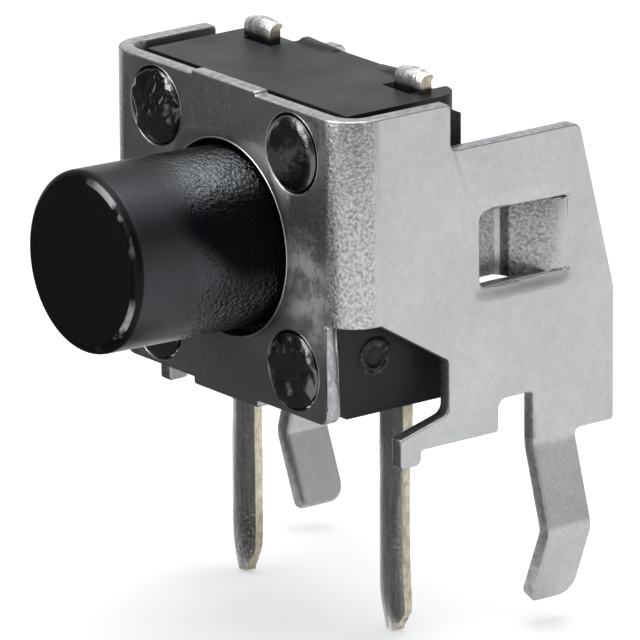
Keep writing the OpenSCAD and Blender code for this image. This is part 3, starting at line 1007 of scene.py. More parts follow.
    def half_outline(self) -> list[Vector]:
        """Returns the outline of the right half of the flat blank, with half the plunger hole."""
        s = self.along
        hole = [
            Vector((self.hole_r * math.sin(a), self.axis_z - self.hole_r * math.cos(a)))
            for a in (math.pi * i / 40 for i in range(41))
        ]
        tip = -self.leg.length
        foot_front, foot_back = self.foot_y
        cutout_low, cutout_high = self.cutout_z
        corners = [
            (0, self.plate_top + self.top_nub, 0),
            (self.nub_half_w, self.plate_top + self.top_nub, 0.045),
            (self.nub_half_w, self.plate_top, 0.02),
            (s(self.cheek_y), self.plate_top, 0.1),
            (s(self.cheek_y), self.wing_top, 0.13),
            (s(self.wing_top_y), self.wing_top, 0.2),
            (s(self.rear_y), self.slope_z, 0.4),
            (s(self.rear_y), 0, 0.08),
            (s(self.leg_back_y), 0, 0.1),
            (s(self.leg_back_y), tip, 0.34),
            (s(self.leg_front_y), tip, 0.16),
            (s(self.leg_front_y), self.belly_z, 0.08),
            (s(self.belly_y), self.belly_z, 0.18),
            (s(self.belly_y), self.arm_z, 0.08),
            (s(foot_back), self.arm_z, 0.07),
            (s(foot_back), 0, 0.14),
            (s(foot_front), 0, 0.07),
            (s(foot_front), self.foot_top, 0.07),
            (s(self.cutout_y), cutout_low, 0.2),
            (s(self.cutout_y), cutout_high, 0.14),
            (s(self.cutout_mouth_y), self.cutout_top, 0.06),
            (self.plate_half_w, self.cutout_top, 0),
            (self.plate_half_w, self.plate_bottom, 0.25),
            (self.nub_half_w, self.plate_bottom, 0.02),
            (self.nub_half_w, self.plate_bottom - self.bottom_nub, 0.06),
            (0, self.plate_bottom - self.bottom_nub, 0),
        ]
        return outline(corners) + hole

    def window_loop(self, grow: float) -> list[Vector]:
        """Returns the window's outline in the flat blank, grown outwards."""
        low, high = self.window_z
        front = self.along(self.window_front_y - grow)
        back = self.along(self.hinge_y + grow)
        return outline([
            (front, low - grow, 0.1 + grow),
            (front, high + grow, 0.16 + grow),
            (back, high + grow, 0.06 + grow),
            (back, low - grow, 0.06 + grow),
        ], 4)

    def slit_loop(self) -> list[Vector]:
        """Returns the window's opening round three sides of the tab."""
        low, high = self.window_z
        front = self.along(self.window_front_y)
        hinge = self.along(self.hinge_y)
        end = self.along(self.window_front_y + self.tab_clear)
        return outline([
            (front, low, 0.1),
            (front, high, 0.16),
            (hinge, high, 0),
            (hinge, high - self.tab_gap, 0),
            (end, high - self.tab_gap, 0.05),
            (end, low + self.tab_gap, 0.05),
            (hinge, low + self.tab_gap, 0),
            (hinge, low, 0),
        ], 3)

    def blank(self) -> Mesh:
        """Returns the flat blank of the right half, with its holes."""
        bm = bmesh.new()
        border = ring_of(bm, self.half_outline())
        pitch = self.post_half_pitch
        posts = [
            ring_of(bm, circle(pitch, self.axis_z + side * pitch, self.post_hole_r, 40))
            for side in (-1, 1)
        ]
        rims = [ring_of(bm, self.window_loop(self.rim_w * part)) for part in (1.0, 0.75, 0.5, 0.25)]
        rims.append(ring_of(bm, self.slit_loop()))
        fill_edges(bm, [border, *posts, rims[0]])
        for outer, inner in zip(rims, rims[1:]):
            fill_edges(bm, [outer, inner])
        return bm

    def near_window(self, point: Vector) -> bool:
        """Tells whether a point of the blank is inside the window's outer rim."""
        low, high = self.window_z
        front = self.along(self.window_front_y - self.rim_w)
        back = self.along(self.hinge_y) + self.rim_w
        return low - self.rim_w < point.z < high + self.rim_w and front < point.x < back

    def near_tab(self, point: Vector) -> bool:
        """Tells whether a point of the blank may belong to the tab or its root."""
        low, high = self.window_z
        back = self.along(self.hinge_y) + self.rim_w
        return low < point.z < high and self.along(self.window_front_y) < point.x < back

    def near_leg(self, point: Vector) -> bool:
        """Tells whether a point of the blank may belong to the leg."""
        return point.x > self.along(self.leg_front_y) - 0.01

    def beside_window(self, point: Vector) -> bool:
        """Tells whether a point of the blank is on the wing, outside the window's outer rim."""
        return point.x > self.along(self.cheek_y) and not self.near_window(point)

    def cut_rows(self, bm: Mesh) -> None:
        """Cuts the blank where it will be bent, and where its large faces need a row."""
        marks = self.wall.marks()
        for mark in [marks[0] - 0.1, *marks, marks[-1] + 0.1]:
            slice_at(bm, X_AXIS, mark)
        hinge = self.along(self.hinge_y)
        kink = self.tab.marks()[-1]
        creases = [kink + step for step in (-0.19, -0.13, 0.04, 0.13, 0.18)]
        for mark in [0.0, 0.5, 0.75, *self.tab.marks(), *creases]:
            slice_at(bm, X_AXIS, hinge - mark / self.stretch, self.near_tab)
        for part in (0.25, 0.5, 0.75):
            across = self.window_front_y + part * (self.hinge_y - self.window_front_y)
            slice_at(
                bm, X_AXIS, self.along(across),
                lambda point: self.near_window(point) and not self.near_tab(point),
            )
        for mark in [0.0, *self.leg.marks(), self.leg.marks()[-1] + 0.1]:
            slice_at(bm, Z_AXIS, -mark, self.near_leg)
        pitch = self.post_half_pitch
        for height in (self.axis_z - pitch, self.axis_z, self.axis_z + pitch):
            slice_at(bm, Z_AXIS, height, lambda point: point.x < self.plate_half_w)
        slice_at(bm, X_AXIS, pitch)
        leg_inner = self.along(self.leg_front_y) + 0.12
        slice_at(bm, X_AXIS, leg_inner, lambda point: self.near_leg(point) and point.z < 0)
        window_middle = self.along((self.window_front_y + self.hinge_y) / 2)
        slice_at(bm, X_AXIS, window_middle, self.beside_window)

    def in_tab(self, s: float, z: float) -> bool:
        """Tells whether a point of the blank is on the tab."""
        low, high = self.window_z
        inset = self.tab_gap - 0.004
        front = self.along(self.window_front_y + self.tab_clear) - 0.002
        return front < s <= self.along(self.hinge_y) + MERGE and low + inset < z < high - inset

    def bend_tab(self, vert: Vert, worked: Layer, painted_shade: Layer) -> None:
        """Moves one point of the tab to its place and marks its speckle and its painted shade there.

        Args:
            vert: The point, in the flat blank.
            worked: Layer that takes how worked the sheet is.
            painted_shade: Layer that takes the shade painted on it.
        """
        z = vert.co.z
        length = (self.along(self.hinge_y) - vert.co.x) * self.stretch
        past_kink = length - self.tab.marks()[-1]
        x, y = self.tab.at(length)
        start = clamped((length - 0.25) / 0.35)
        ease = clamped((past_kink + 0.3) / 0.45)
        spread = start * (self.tab_spread + (1 - ease) * self.tab_swell)
        vert.co = (x, y, z + (spread if z > sum(self.window_z) / 2 else -spread))
        vert[worked] = clamped((length - 0.05) / 0.35)
        # Painted shade on the tab: darker inside the window, near black in the crease at the kink,
        # lighter on the bend just past it.
        vert[painted_shade] = 0.3 * vert[worked]
        if -0.14 < past_kink < 0.01:
            vert[painted_shade] = 0.9
        elif 0.03 < past_kink < 0.14:
            vert[painted_shade] = 0.1
            vert[worked] = 0.2
        elif past_kink > 0.14:
            vert[painted_shade] = 0.42

    def bend(self, bm: Mesh) -> None:
        """Moves every point of the blank to its place on the bent bracket."""
        worked = bm.verts.layers.float.new("worked")
        painted_shade = bm.verts.layers.float.new("painted_shade")
        bend_start = self.wall.marks()[0] + 0.01
        bend_end = self.wall.marks()[-1] - 0.01
        leg_start = self.along(self.leg_front_y)
        leg_end = self.along(self.leg_back_y)
        for vert in bm.verts:
            s = vert.co.x
            z = vert.co.z
            if z < self.cutout_top - 1e-3 and s < self.plate_half_w + 0.02:
                vert.co = (s, self.front_y, z)
            elif self.in_tab(s, z):
                self.bend_tab(vert, worked, painted_shade)
            elif z < MERGE and leg_start - 1e-3 < s < leg_end + 0.02:
                x, leg_z = self.leg.at(-z)
                vert.co = (x, self.y_at(s), leg_z)
                vert[worked] = 0.2 * self.leg.worked(-z)
                # Painted shade along the leg's front cut edge.
                if s < leg_start + 0.05:
                    vert[painted_shade] = 0.45
            else:
                x, y = self.wall.at(s)
                vert.co = (x - self.rim_depth(s, z), y, z)
                vert[worked] = 1.0 if bend_start < s < bend_end else 0.0

    def rim_depth(self, s: float, z: float) -> float:
        """Returns how far the soft rim of the window is pressed in at a point of the blank."""
        low, high = self.window_z
        y = self.y_at(s)
        aside = max(self.window_front_y - y, y - self.hinge_y, 0.0)
        away = math.hypot(aside, max(low - z, z - high, 0.0))
        if s < self.along(self.cheek_y) or away > self.rim_w:
            return 0.0
        near = 1 - away / self.rim_w
        back = clamped((y - self.window_front_y) / (self.hinge_y - self.window_front_y))
        down = clamped(((low + high) / 2 - z) / (high - low) * 2)
        beyond = clamped((y - self.hinge_y) / self.rim_w)
        fade = (1 - beyond) ** 2 * (1 - 0.7 * back * back * (1 - down))
        deepest = self.rim_in + self.rim_in_more * back * (1 - back ** 4) * down
        return near * near * (3 - 2 * near) * deepest * fade

    def lips(self) -> Piece:
        """Builds the thin turned lips of the punched holes in the plate, paler as a painted highlight,
        and returns their object.
        """
        bm = bmesh.new()
        pitch = self.post_half_pitch
        holes = [(0.0, self.axis_z, self.hole_r, 0.026)]
        holes += [
            (x * pitch, self.axis_z + z * pitch, self.post_hole_r, 0.006)
            for x in (-1, 1) for z in (-1, 1)
        ]
        for x, z, radius, lip_r in holes:
            before = set(bm.verts)
            middle = Vector((radius + 0.008, self.front_y + lip_r * 0.9))
            spin(bm, [middle + point for point in circle(0, 0, lip_r, 8)], 80, closed=True)
            fresh = [vert for vert in bm.verts if vert not in before]
            bmesh.ops.translate(bm, verts=fresh, vec=(x, 0, z))
        bmesh.ops.remove_doubles(bm, verts=bm.verts[:], dist=1e-5)
        bmesh.ops.recalc_face_normals(bm, faces=bm.faces[:])
        piece = make_object(bm, "bracket_hole_lip_highlights", (self.lip_highlight,))
        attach(piece, Body.CASE.value)
        return piece

    def build(self) -> list[Piece]:
        """Builds the bracket and returns its objects."""
        bm = self.blank()
        self.cut_rows(bm)
        self.bend(bm)
        bmesh.ops.remove_doubles(bm, verts=bm.verts[:], dist=MERGE)
        whole = bm.verts[:] + bm.edges[:] + bm.faces[:]
        bmesh.ops.mirror(bm, geom=whole, axis="X", merge_dist=MERGE)
        face_forwards(bm)
        for edge in bm.edges:
            if all(abs(vert.co.x) < MERGE for vert in edge.verts):
                edge.seam = True
        # The right leg loses its painted shade, so only the left leg's cut edge stays shaded.
        painted_shade = bm.verts.layers.float["painted_shade"]
        for vert in bm.verts:
            if vert.co.z < 0 and vert.co.x > 0:
                vert[painted_shade] = 0.0
        bmesh.ops.dissolve_limit(
            bm, angle_limit=math.radians(0.3), verts=bm.verts[:], edges=bm.edges[:],
            use_dissolve_boundaries=False, delimit={"SEAM"},
        )
        sheet = make_object(bm, "bracket_sheet", (self.tin, self.cut))
        add_thickness(sheet, self.sheet)
        add_edges_finish(sheet, 0.04, clamp=False)
        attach(sheet, Body.CASE.value)
        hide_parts("bracket")
        return [sheet, self.lips()]


@dataclass
class Base:
    """Moulded base with its well, shoulders, stub pits and four posts with flattened heads.

    Lengths are in millimetres. Y and Z are those of the frame.

    Attributes:
        moulding: Material of the block and its rims.
        post: Material of the posts.
        low: Lowest corner of the CAD node.
        high: Highest corner of the CAD node.
        front_y: Front face of the block, behind the plate.
        floor_y: Floor of the well.
        plate_y: Outer face of the bracket's plate, under the heads.
        bevel: Width of the long bevels at the front.
        well_r: Radius of the well.
        corner_r: Radius of the round back corners.
        corner_h: Height of the round part, at the bottom and at the top.
        shoulder_fall: How far the shoulders between square and round fall at the back.
        shoulder_len: Length over which they fall.
        pit_x: Inner and outer side of the pits round the stubs.
        pit_y: Front side of the pits.
        pit_depth: Depth of the pits.
        rim_x: Inner and outer end of the low rims on top.
        rim_h: Height of the rims.
        mark_y: Place of the round mark on both sides, along Y.
        mark_z: Height of the mark's middle.
        mark_r: Radius of the mark.
        mark_depth: Depth of the mark.
        post_half_pitch: Distance of the posts from the plunger's axis, across and up.
        post_r: Radius of the posts in their holes.
        head_r: Radius of their heads.
    """

    moulding: Material
    post: Material
    low: Vector
    high: Vector
    front_y: float = -1.9
    floor_y: float = -0.225
    plate_y: float = -2.2
    bevel: float = 0.18
    well_r: float = 2.15
    corner_r: float = 0.5
    corner_h: float = 0.24
    shoulder_fall: float = 0.17
    shoulder_len: float = 0.37
    pit_x: tuple[float, float] = (1.68, 2.48)
    pit_y: float = 0.15
    pit_depth: float = 0.13
    rim_x: tuple[float, float] = (0.62, 1.6)
    rim_h: float = 0.07
    mark_y: float = -1.08
    mark_z: float = 2.02
    mark_r: float = 0.29
    mark_depth: float = 0.012
    post_half_pitch: float = 2.05
    post_r: float = 0.66
    head_r: float = 0.71

    def __post_init__(self) -> None:
        """Works out the middle height."""
        self.axis_z = (self.low.z + self.high.z) / 2

    def plan(self, front: float, square: bool, steps: int = 7) -> list[Vector]:
        """Returns the outline seen from above.

        Args:
            front: Place of its front edge.
            square: Whether the back corners are square instead of rounded.
            steps: Number of edges in each back corner.

        Returns:
            Points with the same order and number for every level.
        """
        half = self.high.x
        back = self.high.y
        points = [Vector((-half, front)), Vector((half, front))]
        for side in (1, -1):
            centre = Vector((side * (half - self.corner_r), back - self.corner_r))
            turns = range(steps + 1) if side > 0 else range(steps, -1, -1)
            for i in turns:
                a = math.pi / 2 * i / steps
                if square:
                    reach = Vector((min(1.0, 2 * (1 - i / steps)), min(1.0, 2 * i / steps)))
                else:
                    reach = Vector((math.cos(a), math.sin(a)))
                reach *= self.corner_r
                points.append(centre + Vector((side * reach.x, reach.y)))
            if side > 0:
                inner, outer = self.pit_x
                points += [Vector((x, back)) for x in (outer, inner, -inner, -outer)]
        return points

    def levels(self) -> list[list[Vector]]:
        """Returns the rings of the block from the bottom up to the floor of the pits."""
        low = self.low.z
        high = self.high.z
        low_shoulder = low + self.corner_h
        high_shoulder = high - self.corner_h
        inner_front = self.front_y + self.bevel

        def fall(y: float) -> float:
            """Returns how far a shoulder has fallen at y."""
            return self.shoulder_fall * max(0.0, 1 - (self.high.y - y) / self.shoulder_len)

        def ring(front: float, square: bool, height: Callable[[float], float]) -> list[Vector]:
            """Lifts an outline to its height at each y."""
            return [Vector((p.x, p.y, height(p.y))) for p in self.plan(front, square)]

        return [
            ring(inner_front, False, lambda y: low),
            ring(self.front_y, False, lambda y: low + self.bevel),
            ring(self.front_y, False, lambda y: low_shoulder + fall(y)),
            ring(self.front_y, True, lambda y: low_shoulder + fall(y)),
            ring(self.front_y, True, lambda y: high_shoulder - fall(y)),
            ring(self.front_y, False, lambda y: high_shoulder - fall(y)),
            ring(self.front_y, False, lambda y: high - self.bevel),
            ring(inner_front + 0.05, False, lambda y: high - self.pit_depth),
        ]

    def block(self) -> Mesh:
        """Returns the block with its open well."""
        bm = bmesh.new()
        rings = self.levels()
        verts = [bm.verts.new(point) for point in rings[0]]
        edges = join_ring(bm, verts)
        bmesh.ops.contextual_create(bm, geom=edges)
        for ring in rings[1:]:
            edges = edges_in(bmesh.ops.extrude_edge_only(bm, edges=edges)["geom"])
            verts = self.in_order(edges, verts)
            for vert, place in zip(verts, ring):
                vert.co = place
        self.top(bm, verts)
        bmesh.ops.recalc_face_normals(bm, faces=bm.faces[:])
        settle(bm)
        well = in_front_plane(circle(0, self.axis_z, self.well_r, 64), self.front_y)
        sink(bm, face_towards(bm, FORWARD), well, Vector((0, self.floor_y - self.front_y, 0)))
        for side in (1, -1):
            ring = circle(self.mark_y, self.mark_z, self.mark_r, 32)
            mark = in_side_plane(ring, side * self.high.x)
            sink(bm, face_towards(bm, X_AXIS * side), mark, X_AXIS * (-side * self.mark_depth))
        bmesh.ops.dissolve_degenerate(bm, dist=MERGE, edges=bm.edges[:])
        settle(bm)
        bmesh.ops.dissolve_limit(
            bm, angle_limit=math.radians(0.2), verts=bm.verts[:], edges=bm.edges[:]
        )
        bmesh.ops.recalc_face_normals(bm, faces=bm.faces[:])
        return bm

    @staticmethod
    def in_order(edges: Iterable[Edge], below: Sequence[Vert]) -> list[Vert]:
        """Returns the verts of a lifted ring in the order of the ring below it."""
        ring = {vert for edge in edges for vert in edge.verts}
        return [
            next(e.other_vert(vert) for e in vert.link_edges if e.other_vert(vert) in ring)
            for vert in below
        ]

    def top(self, bm: Mesh, ring: list[Vert]) -> None:
        """Raises the top between the pits and closes the floors of the pits."""
        floor = self.high.z - self.pit_depth
        border = list(ring)
        for side in (1, -1):
            mouth = [v for v in ring if abs(v.co.y - self.high.y) < 1e-5 and side * v.co.x > 0]
            outer = min(mouth, key=lambda v: abs(abs(v.co.x) - self.pit_x[1]))
            inner = min(mouth, key=lambda v: abs(abs(v.co.x) - self.pit_x[0]))
            front = [bm.verts.new((v.co.x, self.pit_y, floor)) for v in (outer, inner)]
            bm.faces.new((outer, inner, front[1], front[0]))
            first, between = (outer, front) if side > 0 else (inner, front[::-1])
            at = border.index(first)
            border[at + 1:at + 1] = between
        loop = []
        for i, vert in enumerate(border):
            found = bm.edges.get((border[i - 1], vert))
            loop.append(found if found else bm.edges.new((border[i - 1], vert)))
        raised = bmesh.ops.extrude_edge_only(bm, edges=loop)["geom"]
        bmesh.ops.translate(bm, verts=verts_in(raised), vec=(0, 0, self.high.z - floor))
        bmesh.ops.triangle_fill(
            bm, use_beauty=True, use_dissolve=False, normal=Z_AXIS, edges=edges_in(raised)
        )

    def rims(self) -> Mesh:
        """Returns the low swellings along the back edge of the top."""
        bm = bmesh.new()
        high = self.high.z
        back = self.high.y
        crest = high + self.rim_h
        section = [
            Vector((back - 0.34, high - 0.02)),
            Vector((back - 0.16, crest)),
            Vector((back - 0.02, crest)),
            Vector((back, crest - 0.03)),
            Vector((back, high - 0.02)),
        ]
        near, far = self.rim_x
        for side in (1, -1):
            prism(bm, in_side_plane(section, side * near), X_AXIS * (side * (far - near)))
        for vert in bm.verts:
            if abs(abs(vert.co.x) - near) < MERGE and vert.co.z > high:
                vert.co.z = high + 0.015
        bmesh.ops.remove_doubles(bm, verts=bm.verts[:], dist=1e-5)
        bmesh.ops.recalc_face_normals(bm, faces=bm.faces[:])
        return bm

    def heads(self) -> Mesh:
        """Returns the four posts with their uneven flattened heads."""
        bm = bmesh.new()
        tall = self.plate_y - self.low.y
        profile = [(self.post_r, self.front_y + 0.3), (self.post_r, self.plate_y + 0.05)]
        profile += [
            (
                self.head_r * math.cos(a) ** 0.9,
                self.plate_y + 0.03 - (tall + 0.03) * math.sin(a) ** 0.6,
            )
            for a in (math.pi / 2 * i / 20 for i in range(20))
        ]
        profile.append((0, self.low.y))
        for x_side in (-1, 1):
            for z_side in (-1, 1):
                self.head(bm, profile, Vector((x_side, 0, z_side)))
        bmesh.ops.remove_doubles(bm, verts=bm.verts[:], dist=MERGE)
        bmesh.ops.recalc_face_normals(bm, faces=bm.faces[:])
        return bm

    def head(self, bm: Mesh, profile: Sequence[Sequence[float]], side: Vector) -> None:
        """Adds one post and its head to a mesh.

        Args:
            bm: Mesh that takes the post.
            profile: Points as (distance from the post's axis, y).
            side: 1 or -1 along X and Z, for the corner where it stands.
        """
        spin(bm, profile, 64)
        reach = (self.head_r + 0.1) ** 2
        fresh = [v for v in bm.verts if v.co.x ** 2 + v.co.z ** 2 < reach]
        rough = 1.0 if side.x * side.z < 0 else 0.25
        for vert in fresh:
            if vert.co.y < self.plate_y - 0.005:
                lump = noise.noise(vert.co * 2.4 + side * 7.3) * 0.08
                lump += noise.noise(vert.co * 7 + side * 3.1) * 0.04
                vert.co.y = max(self.low.y, vert.co.y + (lump + 0.03) * rough)
        pitch = self.post_half_pitch
        place = Vector((side.x * pitch, 0, self.axis_z + side.z * pitch))
        bmesh.ops.translate(bm, verts=fresh, vec=place)

    def build(self) -> list[Piece]:
        """Builds the base and its posts and returns their objects."""
        body = make_object(self.block(), "base_block", (self.moulding,))
        add_edges_finish(body, 0.035)
        rims = make_object(self.rims(), "base_rims", (self.moulding,))
        add_edges_finish(rims, 0.03)
        posts = make_object(self.heads(), "base_posts", (self.post,))
        for piece in (body, rims, posts):
            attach(piece, Body.CASE.value)
        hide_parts("base")
        return [body, rims, posts]


@dataclass
class Plunger:
    """Turned form of the plunger: shaft, flange and nub.

    Lengths are in millimetres. Y and Z are those of the frame.

    Attributes:
        skin: Material of the plunger.
        low: Lowest corner of the CAD node.
        high: Highest corner of the CAD node.
        shaft_r: Radius of the shaft.
        edge_r: Radius of the rounding at its tip.
        flange_front_y: Front face of the flange, behind the plate.
        flange_back_y: Rear face of the flange.
        nub_r: Radius of the nub that presses the dome.
        nub_room: How far the nub ends before the CAD node does.
        lean: Angle by which the plunger leans in its hole, in degrees.
        root_start: Where the shaft's painted sheen begins to change towards the plate.
        tip_room: How far the tip ends before the CAD node does, so that it can lean.
        rows: Number of rings of points along the shaft.
        row_start: Place of the first ring, from the tip.
        row_step: Distance between the rings.
    """

    skin: Material
    low: Vector
    high: Vector
    shaft_r: float = 1.7
    edge_r: float = 0.19
    flange_front_y: float = -1.85
    flange_back_y: float = -1.15
    nub_r: float = 0.8
    nub_room: float = 0.02
    lean: float = -1.5
    root_start: float = -4.5
    tip_room: float = 0.039
    rows: int = 21
    row_start: float = 0.9
    row_step: float = 0.125

    def painted_sheen_at(self, y: float, turn: float, out: float) -> float:
        """Returns the painted sheen of a place: how strongly it mirrors light, set to match where
        light falls.

        Args:
            y: Its place along the plunger, in millimetres.
            turn: Its direction round the axis in degrees, 0 at the right and 90 on top.
            out: Its distance from the axis in millimetres.

        Returns:
            The level, 0.5 where the skin is as moulded.
        """
        # Painted shade: the end face and its rounding mirror less.
        if y < self.low.y + self.edge_r:
            return 0.3 if out < self.shaft_r - 0.9 * self.edge_r else 0.12
        # Painted sheen on the shaft: a dark patch near the root, bright arcs above and below on the
        # rough band, and less along the top.
        grown = clamped((y - self.root_start) / 1.5)
        rough = clamped((y - self.root_start - 0.6) / 0.5)
        painted_dark_patch = max(0.0, 1 - (abs(turn - 34 + 18 * grown) / (10 + 26 * grown)) ** 2)
        painted_dark_patch *= min(1.0, 3 * grown)
        upper = max(0.0, 1 - (abs(turn - 66) / 22) ** 2)
        lower = max(0.0, 1 - (abs(turn + 38) / 17) ** 2)
        crest = max(0.0, 1 - abs(turn - 95) / 40)
        level = 0.5 - 0.3 * crest - 0.15 * rough + rough * 0.65 * max(upper, 0.7 * lower)
        return min(1.0, max(0.02, level - 0.5 * painted_dark_patch))

    def mark(self, bm: Mesh) -> None:
        """Stores the painted highlight on the tip's rim and the painted sheen at every point."""
        painted_highlight = bm.verts.layers.float.new("painted_highlight")
        painted_sheen = bm.verts.layers.float.new("painted_sheen")
        for vert in bm.verts:
            out = math.hypot(vert.co.x, vert.co.z)
            turn = math.degrees(math.atan2(vert.co.z, vert.co.x))
            vert[painted_sheen] = self.painted_sheen_at(vert.co.y, turn, out)
            # Painted highlight on the tip's rim: an upper and a lower arc where the light catches it.
            upper = max(0.0, 1 - abs(turn - 50) / 34)
            lower = max(0.0, 1 - abs(turn + 42) / 30)
            on_edge = abs(out - self.shaft_r + 0.66 * self.edge_r) < 0.3 * self.edge_r
            if on_edge and vert.co.y < self.low.y + self.edge_r:
                vert[painted_highlight] = max(upper, lower) ** 0.5

    def build(self) -> Piece:
        """Builds the plunger and returns its object."""
        axis_z = (self.low.z + self.high.z) / 2
        flange_r = self.high.x
        tip = self.low.y + self.tip_room
        nub_y = self.high.y - self.nub_room
        rows = [self.low.y + self.row_start + self.row_step * i for i in range(self.rows)]
        half = outline([
            (0, tip, 0),
            (self.shaft_r - self.edge_r - 0.01, tip, 0),
            (self.shaft_r, tip, self.edge_r),
            *[(self.shaft_r, y, 0) for y in rows],
            (self.shaft_r, self.flange_front_y, 0.02),
            (flange_r, self.flange_front_y, 0.04),
            (flange_r, self.flange_back_y, 0.05),
            (self.nub_r, self.flange_back_y, 0.02),
            (self.nub_r, nub_y, 0.1),
            (0, nub_y, 0),
        ], 12)
        bm = bmesh.new()
        spin(bm, half, 96)
        bmesh.ops.remove_doubles(bm, verts=bm.verts[:], dist=MERGE)
        bmesh.ops.recalc_face_normals(bm, faces=bm.faces[:])
        self.mark(bm)
        lean = Matrix.Rotation(math.radians(self.lean), 3, "X")
        bmesh.ops.rotate(bm, cent=(0, self.flange_back_y, 0), matrix=lean, verts=bm.verts[:])
        bmesh.ops.translate(bm, verts=bm.verts[:], vec=(0, 0, axis_z))
        piece = make_object(bm, "plunger_shaft", (self.skin,))
        weighted = piece.modifiers.new("even_shading", "WEIGHTED_NORMAL")
        weighted.weight = SHADING_WEIGHT
        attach(piece, Body.BUTTON.value)
        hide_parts("plunger")
        return piece


@dataclass
class Lead:
    """Solder lead: a stamped strip with a tapered tip, a joggle inside the base and a cut-off stub.

    Lengths are in millimetres. Y and Z are those of the frame.

    Attributes:
        plating: Material of the plated faces.
        cut: Material of the cut edges.
        node: Name of the CAD node.
        side: 1 on the right and -1 on the left.
        low: Lowest corner of the CAD node.
        high: Highest corner of the CAD node.
        base_z: Heights of the bottom and the top of the base.
        pitch: Distance between the two leads.
        width: Width of the strip.
        thick: Thickness of the strip.
        tip_len: Length of the tapered tip.
        tip_w: Width of its end.
        tip_room: How far the tip ends over the CAD node's end.
        stub_shift: How far back the stub stands from the strip.
        stub_root: How deep in the base the stub begins.
        stub_w: Width of the stub.
        stub_room: How far the stub ends under the CAD node's top.
        stub_roll: Radius of the rolled edge at its top.
        stub_burr: Size of the burr at its cut.
        crown: How far the strip's sides stand behind its middle.
        pad_r: Radius of the pad under the dome's middle.
        ring_r: Inner and outer radius of the ring under the dome's rim.
        ring_turn: Half the angle of the open ring, in degrees.
        contact_y: Front face of the pad and the ring.
        tongue_w: Width of the tongue that leads to them.
    """

    plating: Material
    cut: Material
    node: str
    side: float
    low: Vector
    high: Vector
    base_z: tuple[float, float]
    pitch: float = 4.5
    width: float = 0.7
    thick: float = 0.25
    tip_len: float = 0.6
    tip_w: float = 0.22
    tip_room: float = 0.02
    stub_shift: float = 0.42
    stub_root: float = 0.6
    stub_w: float = 0.8
    stub_room: float = 0.05
    stub_roll: float = 0.17
    stub_burr: float = 0.06
    crown: float = 0.07
    pad_r: float = 0.45
    ring_r: tuple[float, float] = (1.61, 1.95)
    ring_turn: float = 145.0
    contact_y: float = -0.255
    tongue_w: float = 0.6

    def __post_init__(self) -> None:
        """Works out the places that follow from the sizes."""
        self.front = -self.thick / 2
        self.axis_z = sum(self.base_z) / 2
        self.root_z = self.base_z[1] - self.stub_root
        self.middle = self.side * self.pitch / 2

    def strip(self) -> Piece:
        """Builds the strip from the tip to the joggle."""
        half = self.width / 2
        knee = self.root_z - self.thick / 2
        path = BentPath((
            (self.front, self.low.z + self.tip_room, 0),
            (self.front, knee - self.stub_shift, 0.2),
            (self.front + self.stub_shift, knee, 0.2),
            (self.front + self.stub_shift, self.root_z, 0),
        ), 5)
        skew = 0.05 if self.side > 0 else -0.02
        bm = bmesh.new()
        fill_edges(bm, [ring_of(bm, outline([
            (-half, path.length, 0),
            (-half, self.tip_len + skew, 0.5),
            (-self.tip_w / 2, 0, 0.08),
            (self.tip_w / 2, 0, 0.08),
            (half, self.tip_len - 0.18 - skew, 0.3),
            (half, path.length, 0),
        ]))])
        for mark in path.marks():
            slice_at(bm, Z_AXIS, mark)
        for i in range(1, 22):
            slice_at(bm, Z_AXIS, 0.21 * i)
        for part in (-0.7, -0.35, 0.0, 0.35, 0.7):
            slice_at(bm, X_AXIS, half * part)
        self.bend(bm, path)
        face_forwards(bm)
        bmesh.ops.translate(bm, verts=bm.verts[:], vec=(self.middle, 0, 0))
        piece = make_object(bm, self.node + "_strip", (self.plating, self.cut))
        add_thickness(piece, self.thick)
        add_edges_finish(piece, 0.075, segments=4)
        return piece

    def bend(self, bm: Mesh, path: BentPath) -> None:
        """Moves every point of the flat strip to its place, with a slight bow and ragged edges.

        Args:
            bm: The flat strip, with its tip at 0.
            path: Line of its front face, given in Y and Z.
        """
        worked = bm.verts.layers.float.new("worked")
        painted_shade = bm.verts.layers.float.new("painted_shade")
        for vert in bm.verts:
            x = vert.co.x
            length = vert.co.z
            y, z = path.at(length)
            grip = clamped((self.base_z[0] - z) / 1.2)
            ragged = noise.noise(Vector((self.side * 5 + x * 2, length * 1.1, 0))) * 0.03
            bow = -0.05 * math.sin(min(1.0, length / 4.2) * math.pi) * (1 if self.side > 0 else 0.2)
            # Painted shade: the left lead is darker and more speckled towards its tip.
            shaded_tip = length < 1.15 and self.side < 0
            vert[worked] = 0.9 if shaded_tip else 0.35
            vert[painted_shade] = 0.35 if shaded_tip else 0.0
            hollow = self.crown * (x / (self.width / 2)) ** 2 * grip
            moved = (ragged + bow) * grip if length > 0.02 else 0.0
            vert.co = (x + moved, y + hollow - 0.03 * grip, z)

    def stub(self) -> Piece:
        """Builds the cut-off stub over the base, with painted shade at its root."""
        front = self.front + self.stub_shift
        back = front + self.thick
        top = self.high.z - self.stub_room
        section = outline([
            (front, self.root_z, 0),
            (back, self.root_z, 0),
            (back, top - 2 * self.stub_burr, 0.03),
            (back + self.stub_burr, top - self.stub_burr, 0.015),
            (back, top, 0.03),
            (front, top, self.stub_roll),
        ])
        bm = bmesh.new()
        prism(bm, in_side_plane(section, self.middle - self.stub_w / 2), X_AXIS * self.stub_w)
        for offset in (-0.2, 0.0, 0.2):
            slice_at(bm, X_AXIS, self.middle + offset)
        for height in (0.06, 0.17):
            slice_at(bm, Z_AXIS, self.base_z[1] + height)
        worked = bm.verts.layers.float.new("worked")
        painted_shade = bm.verts.layers.float.new("painted_shade")
        for vert in bm.verts:
            vert[worked] = 0.5
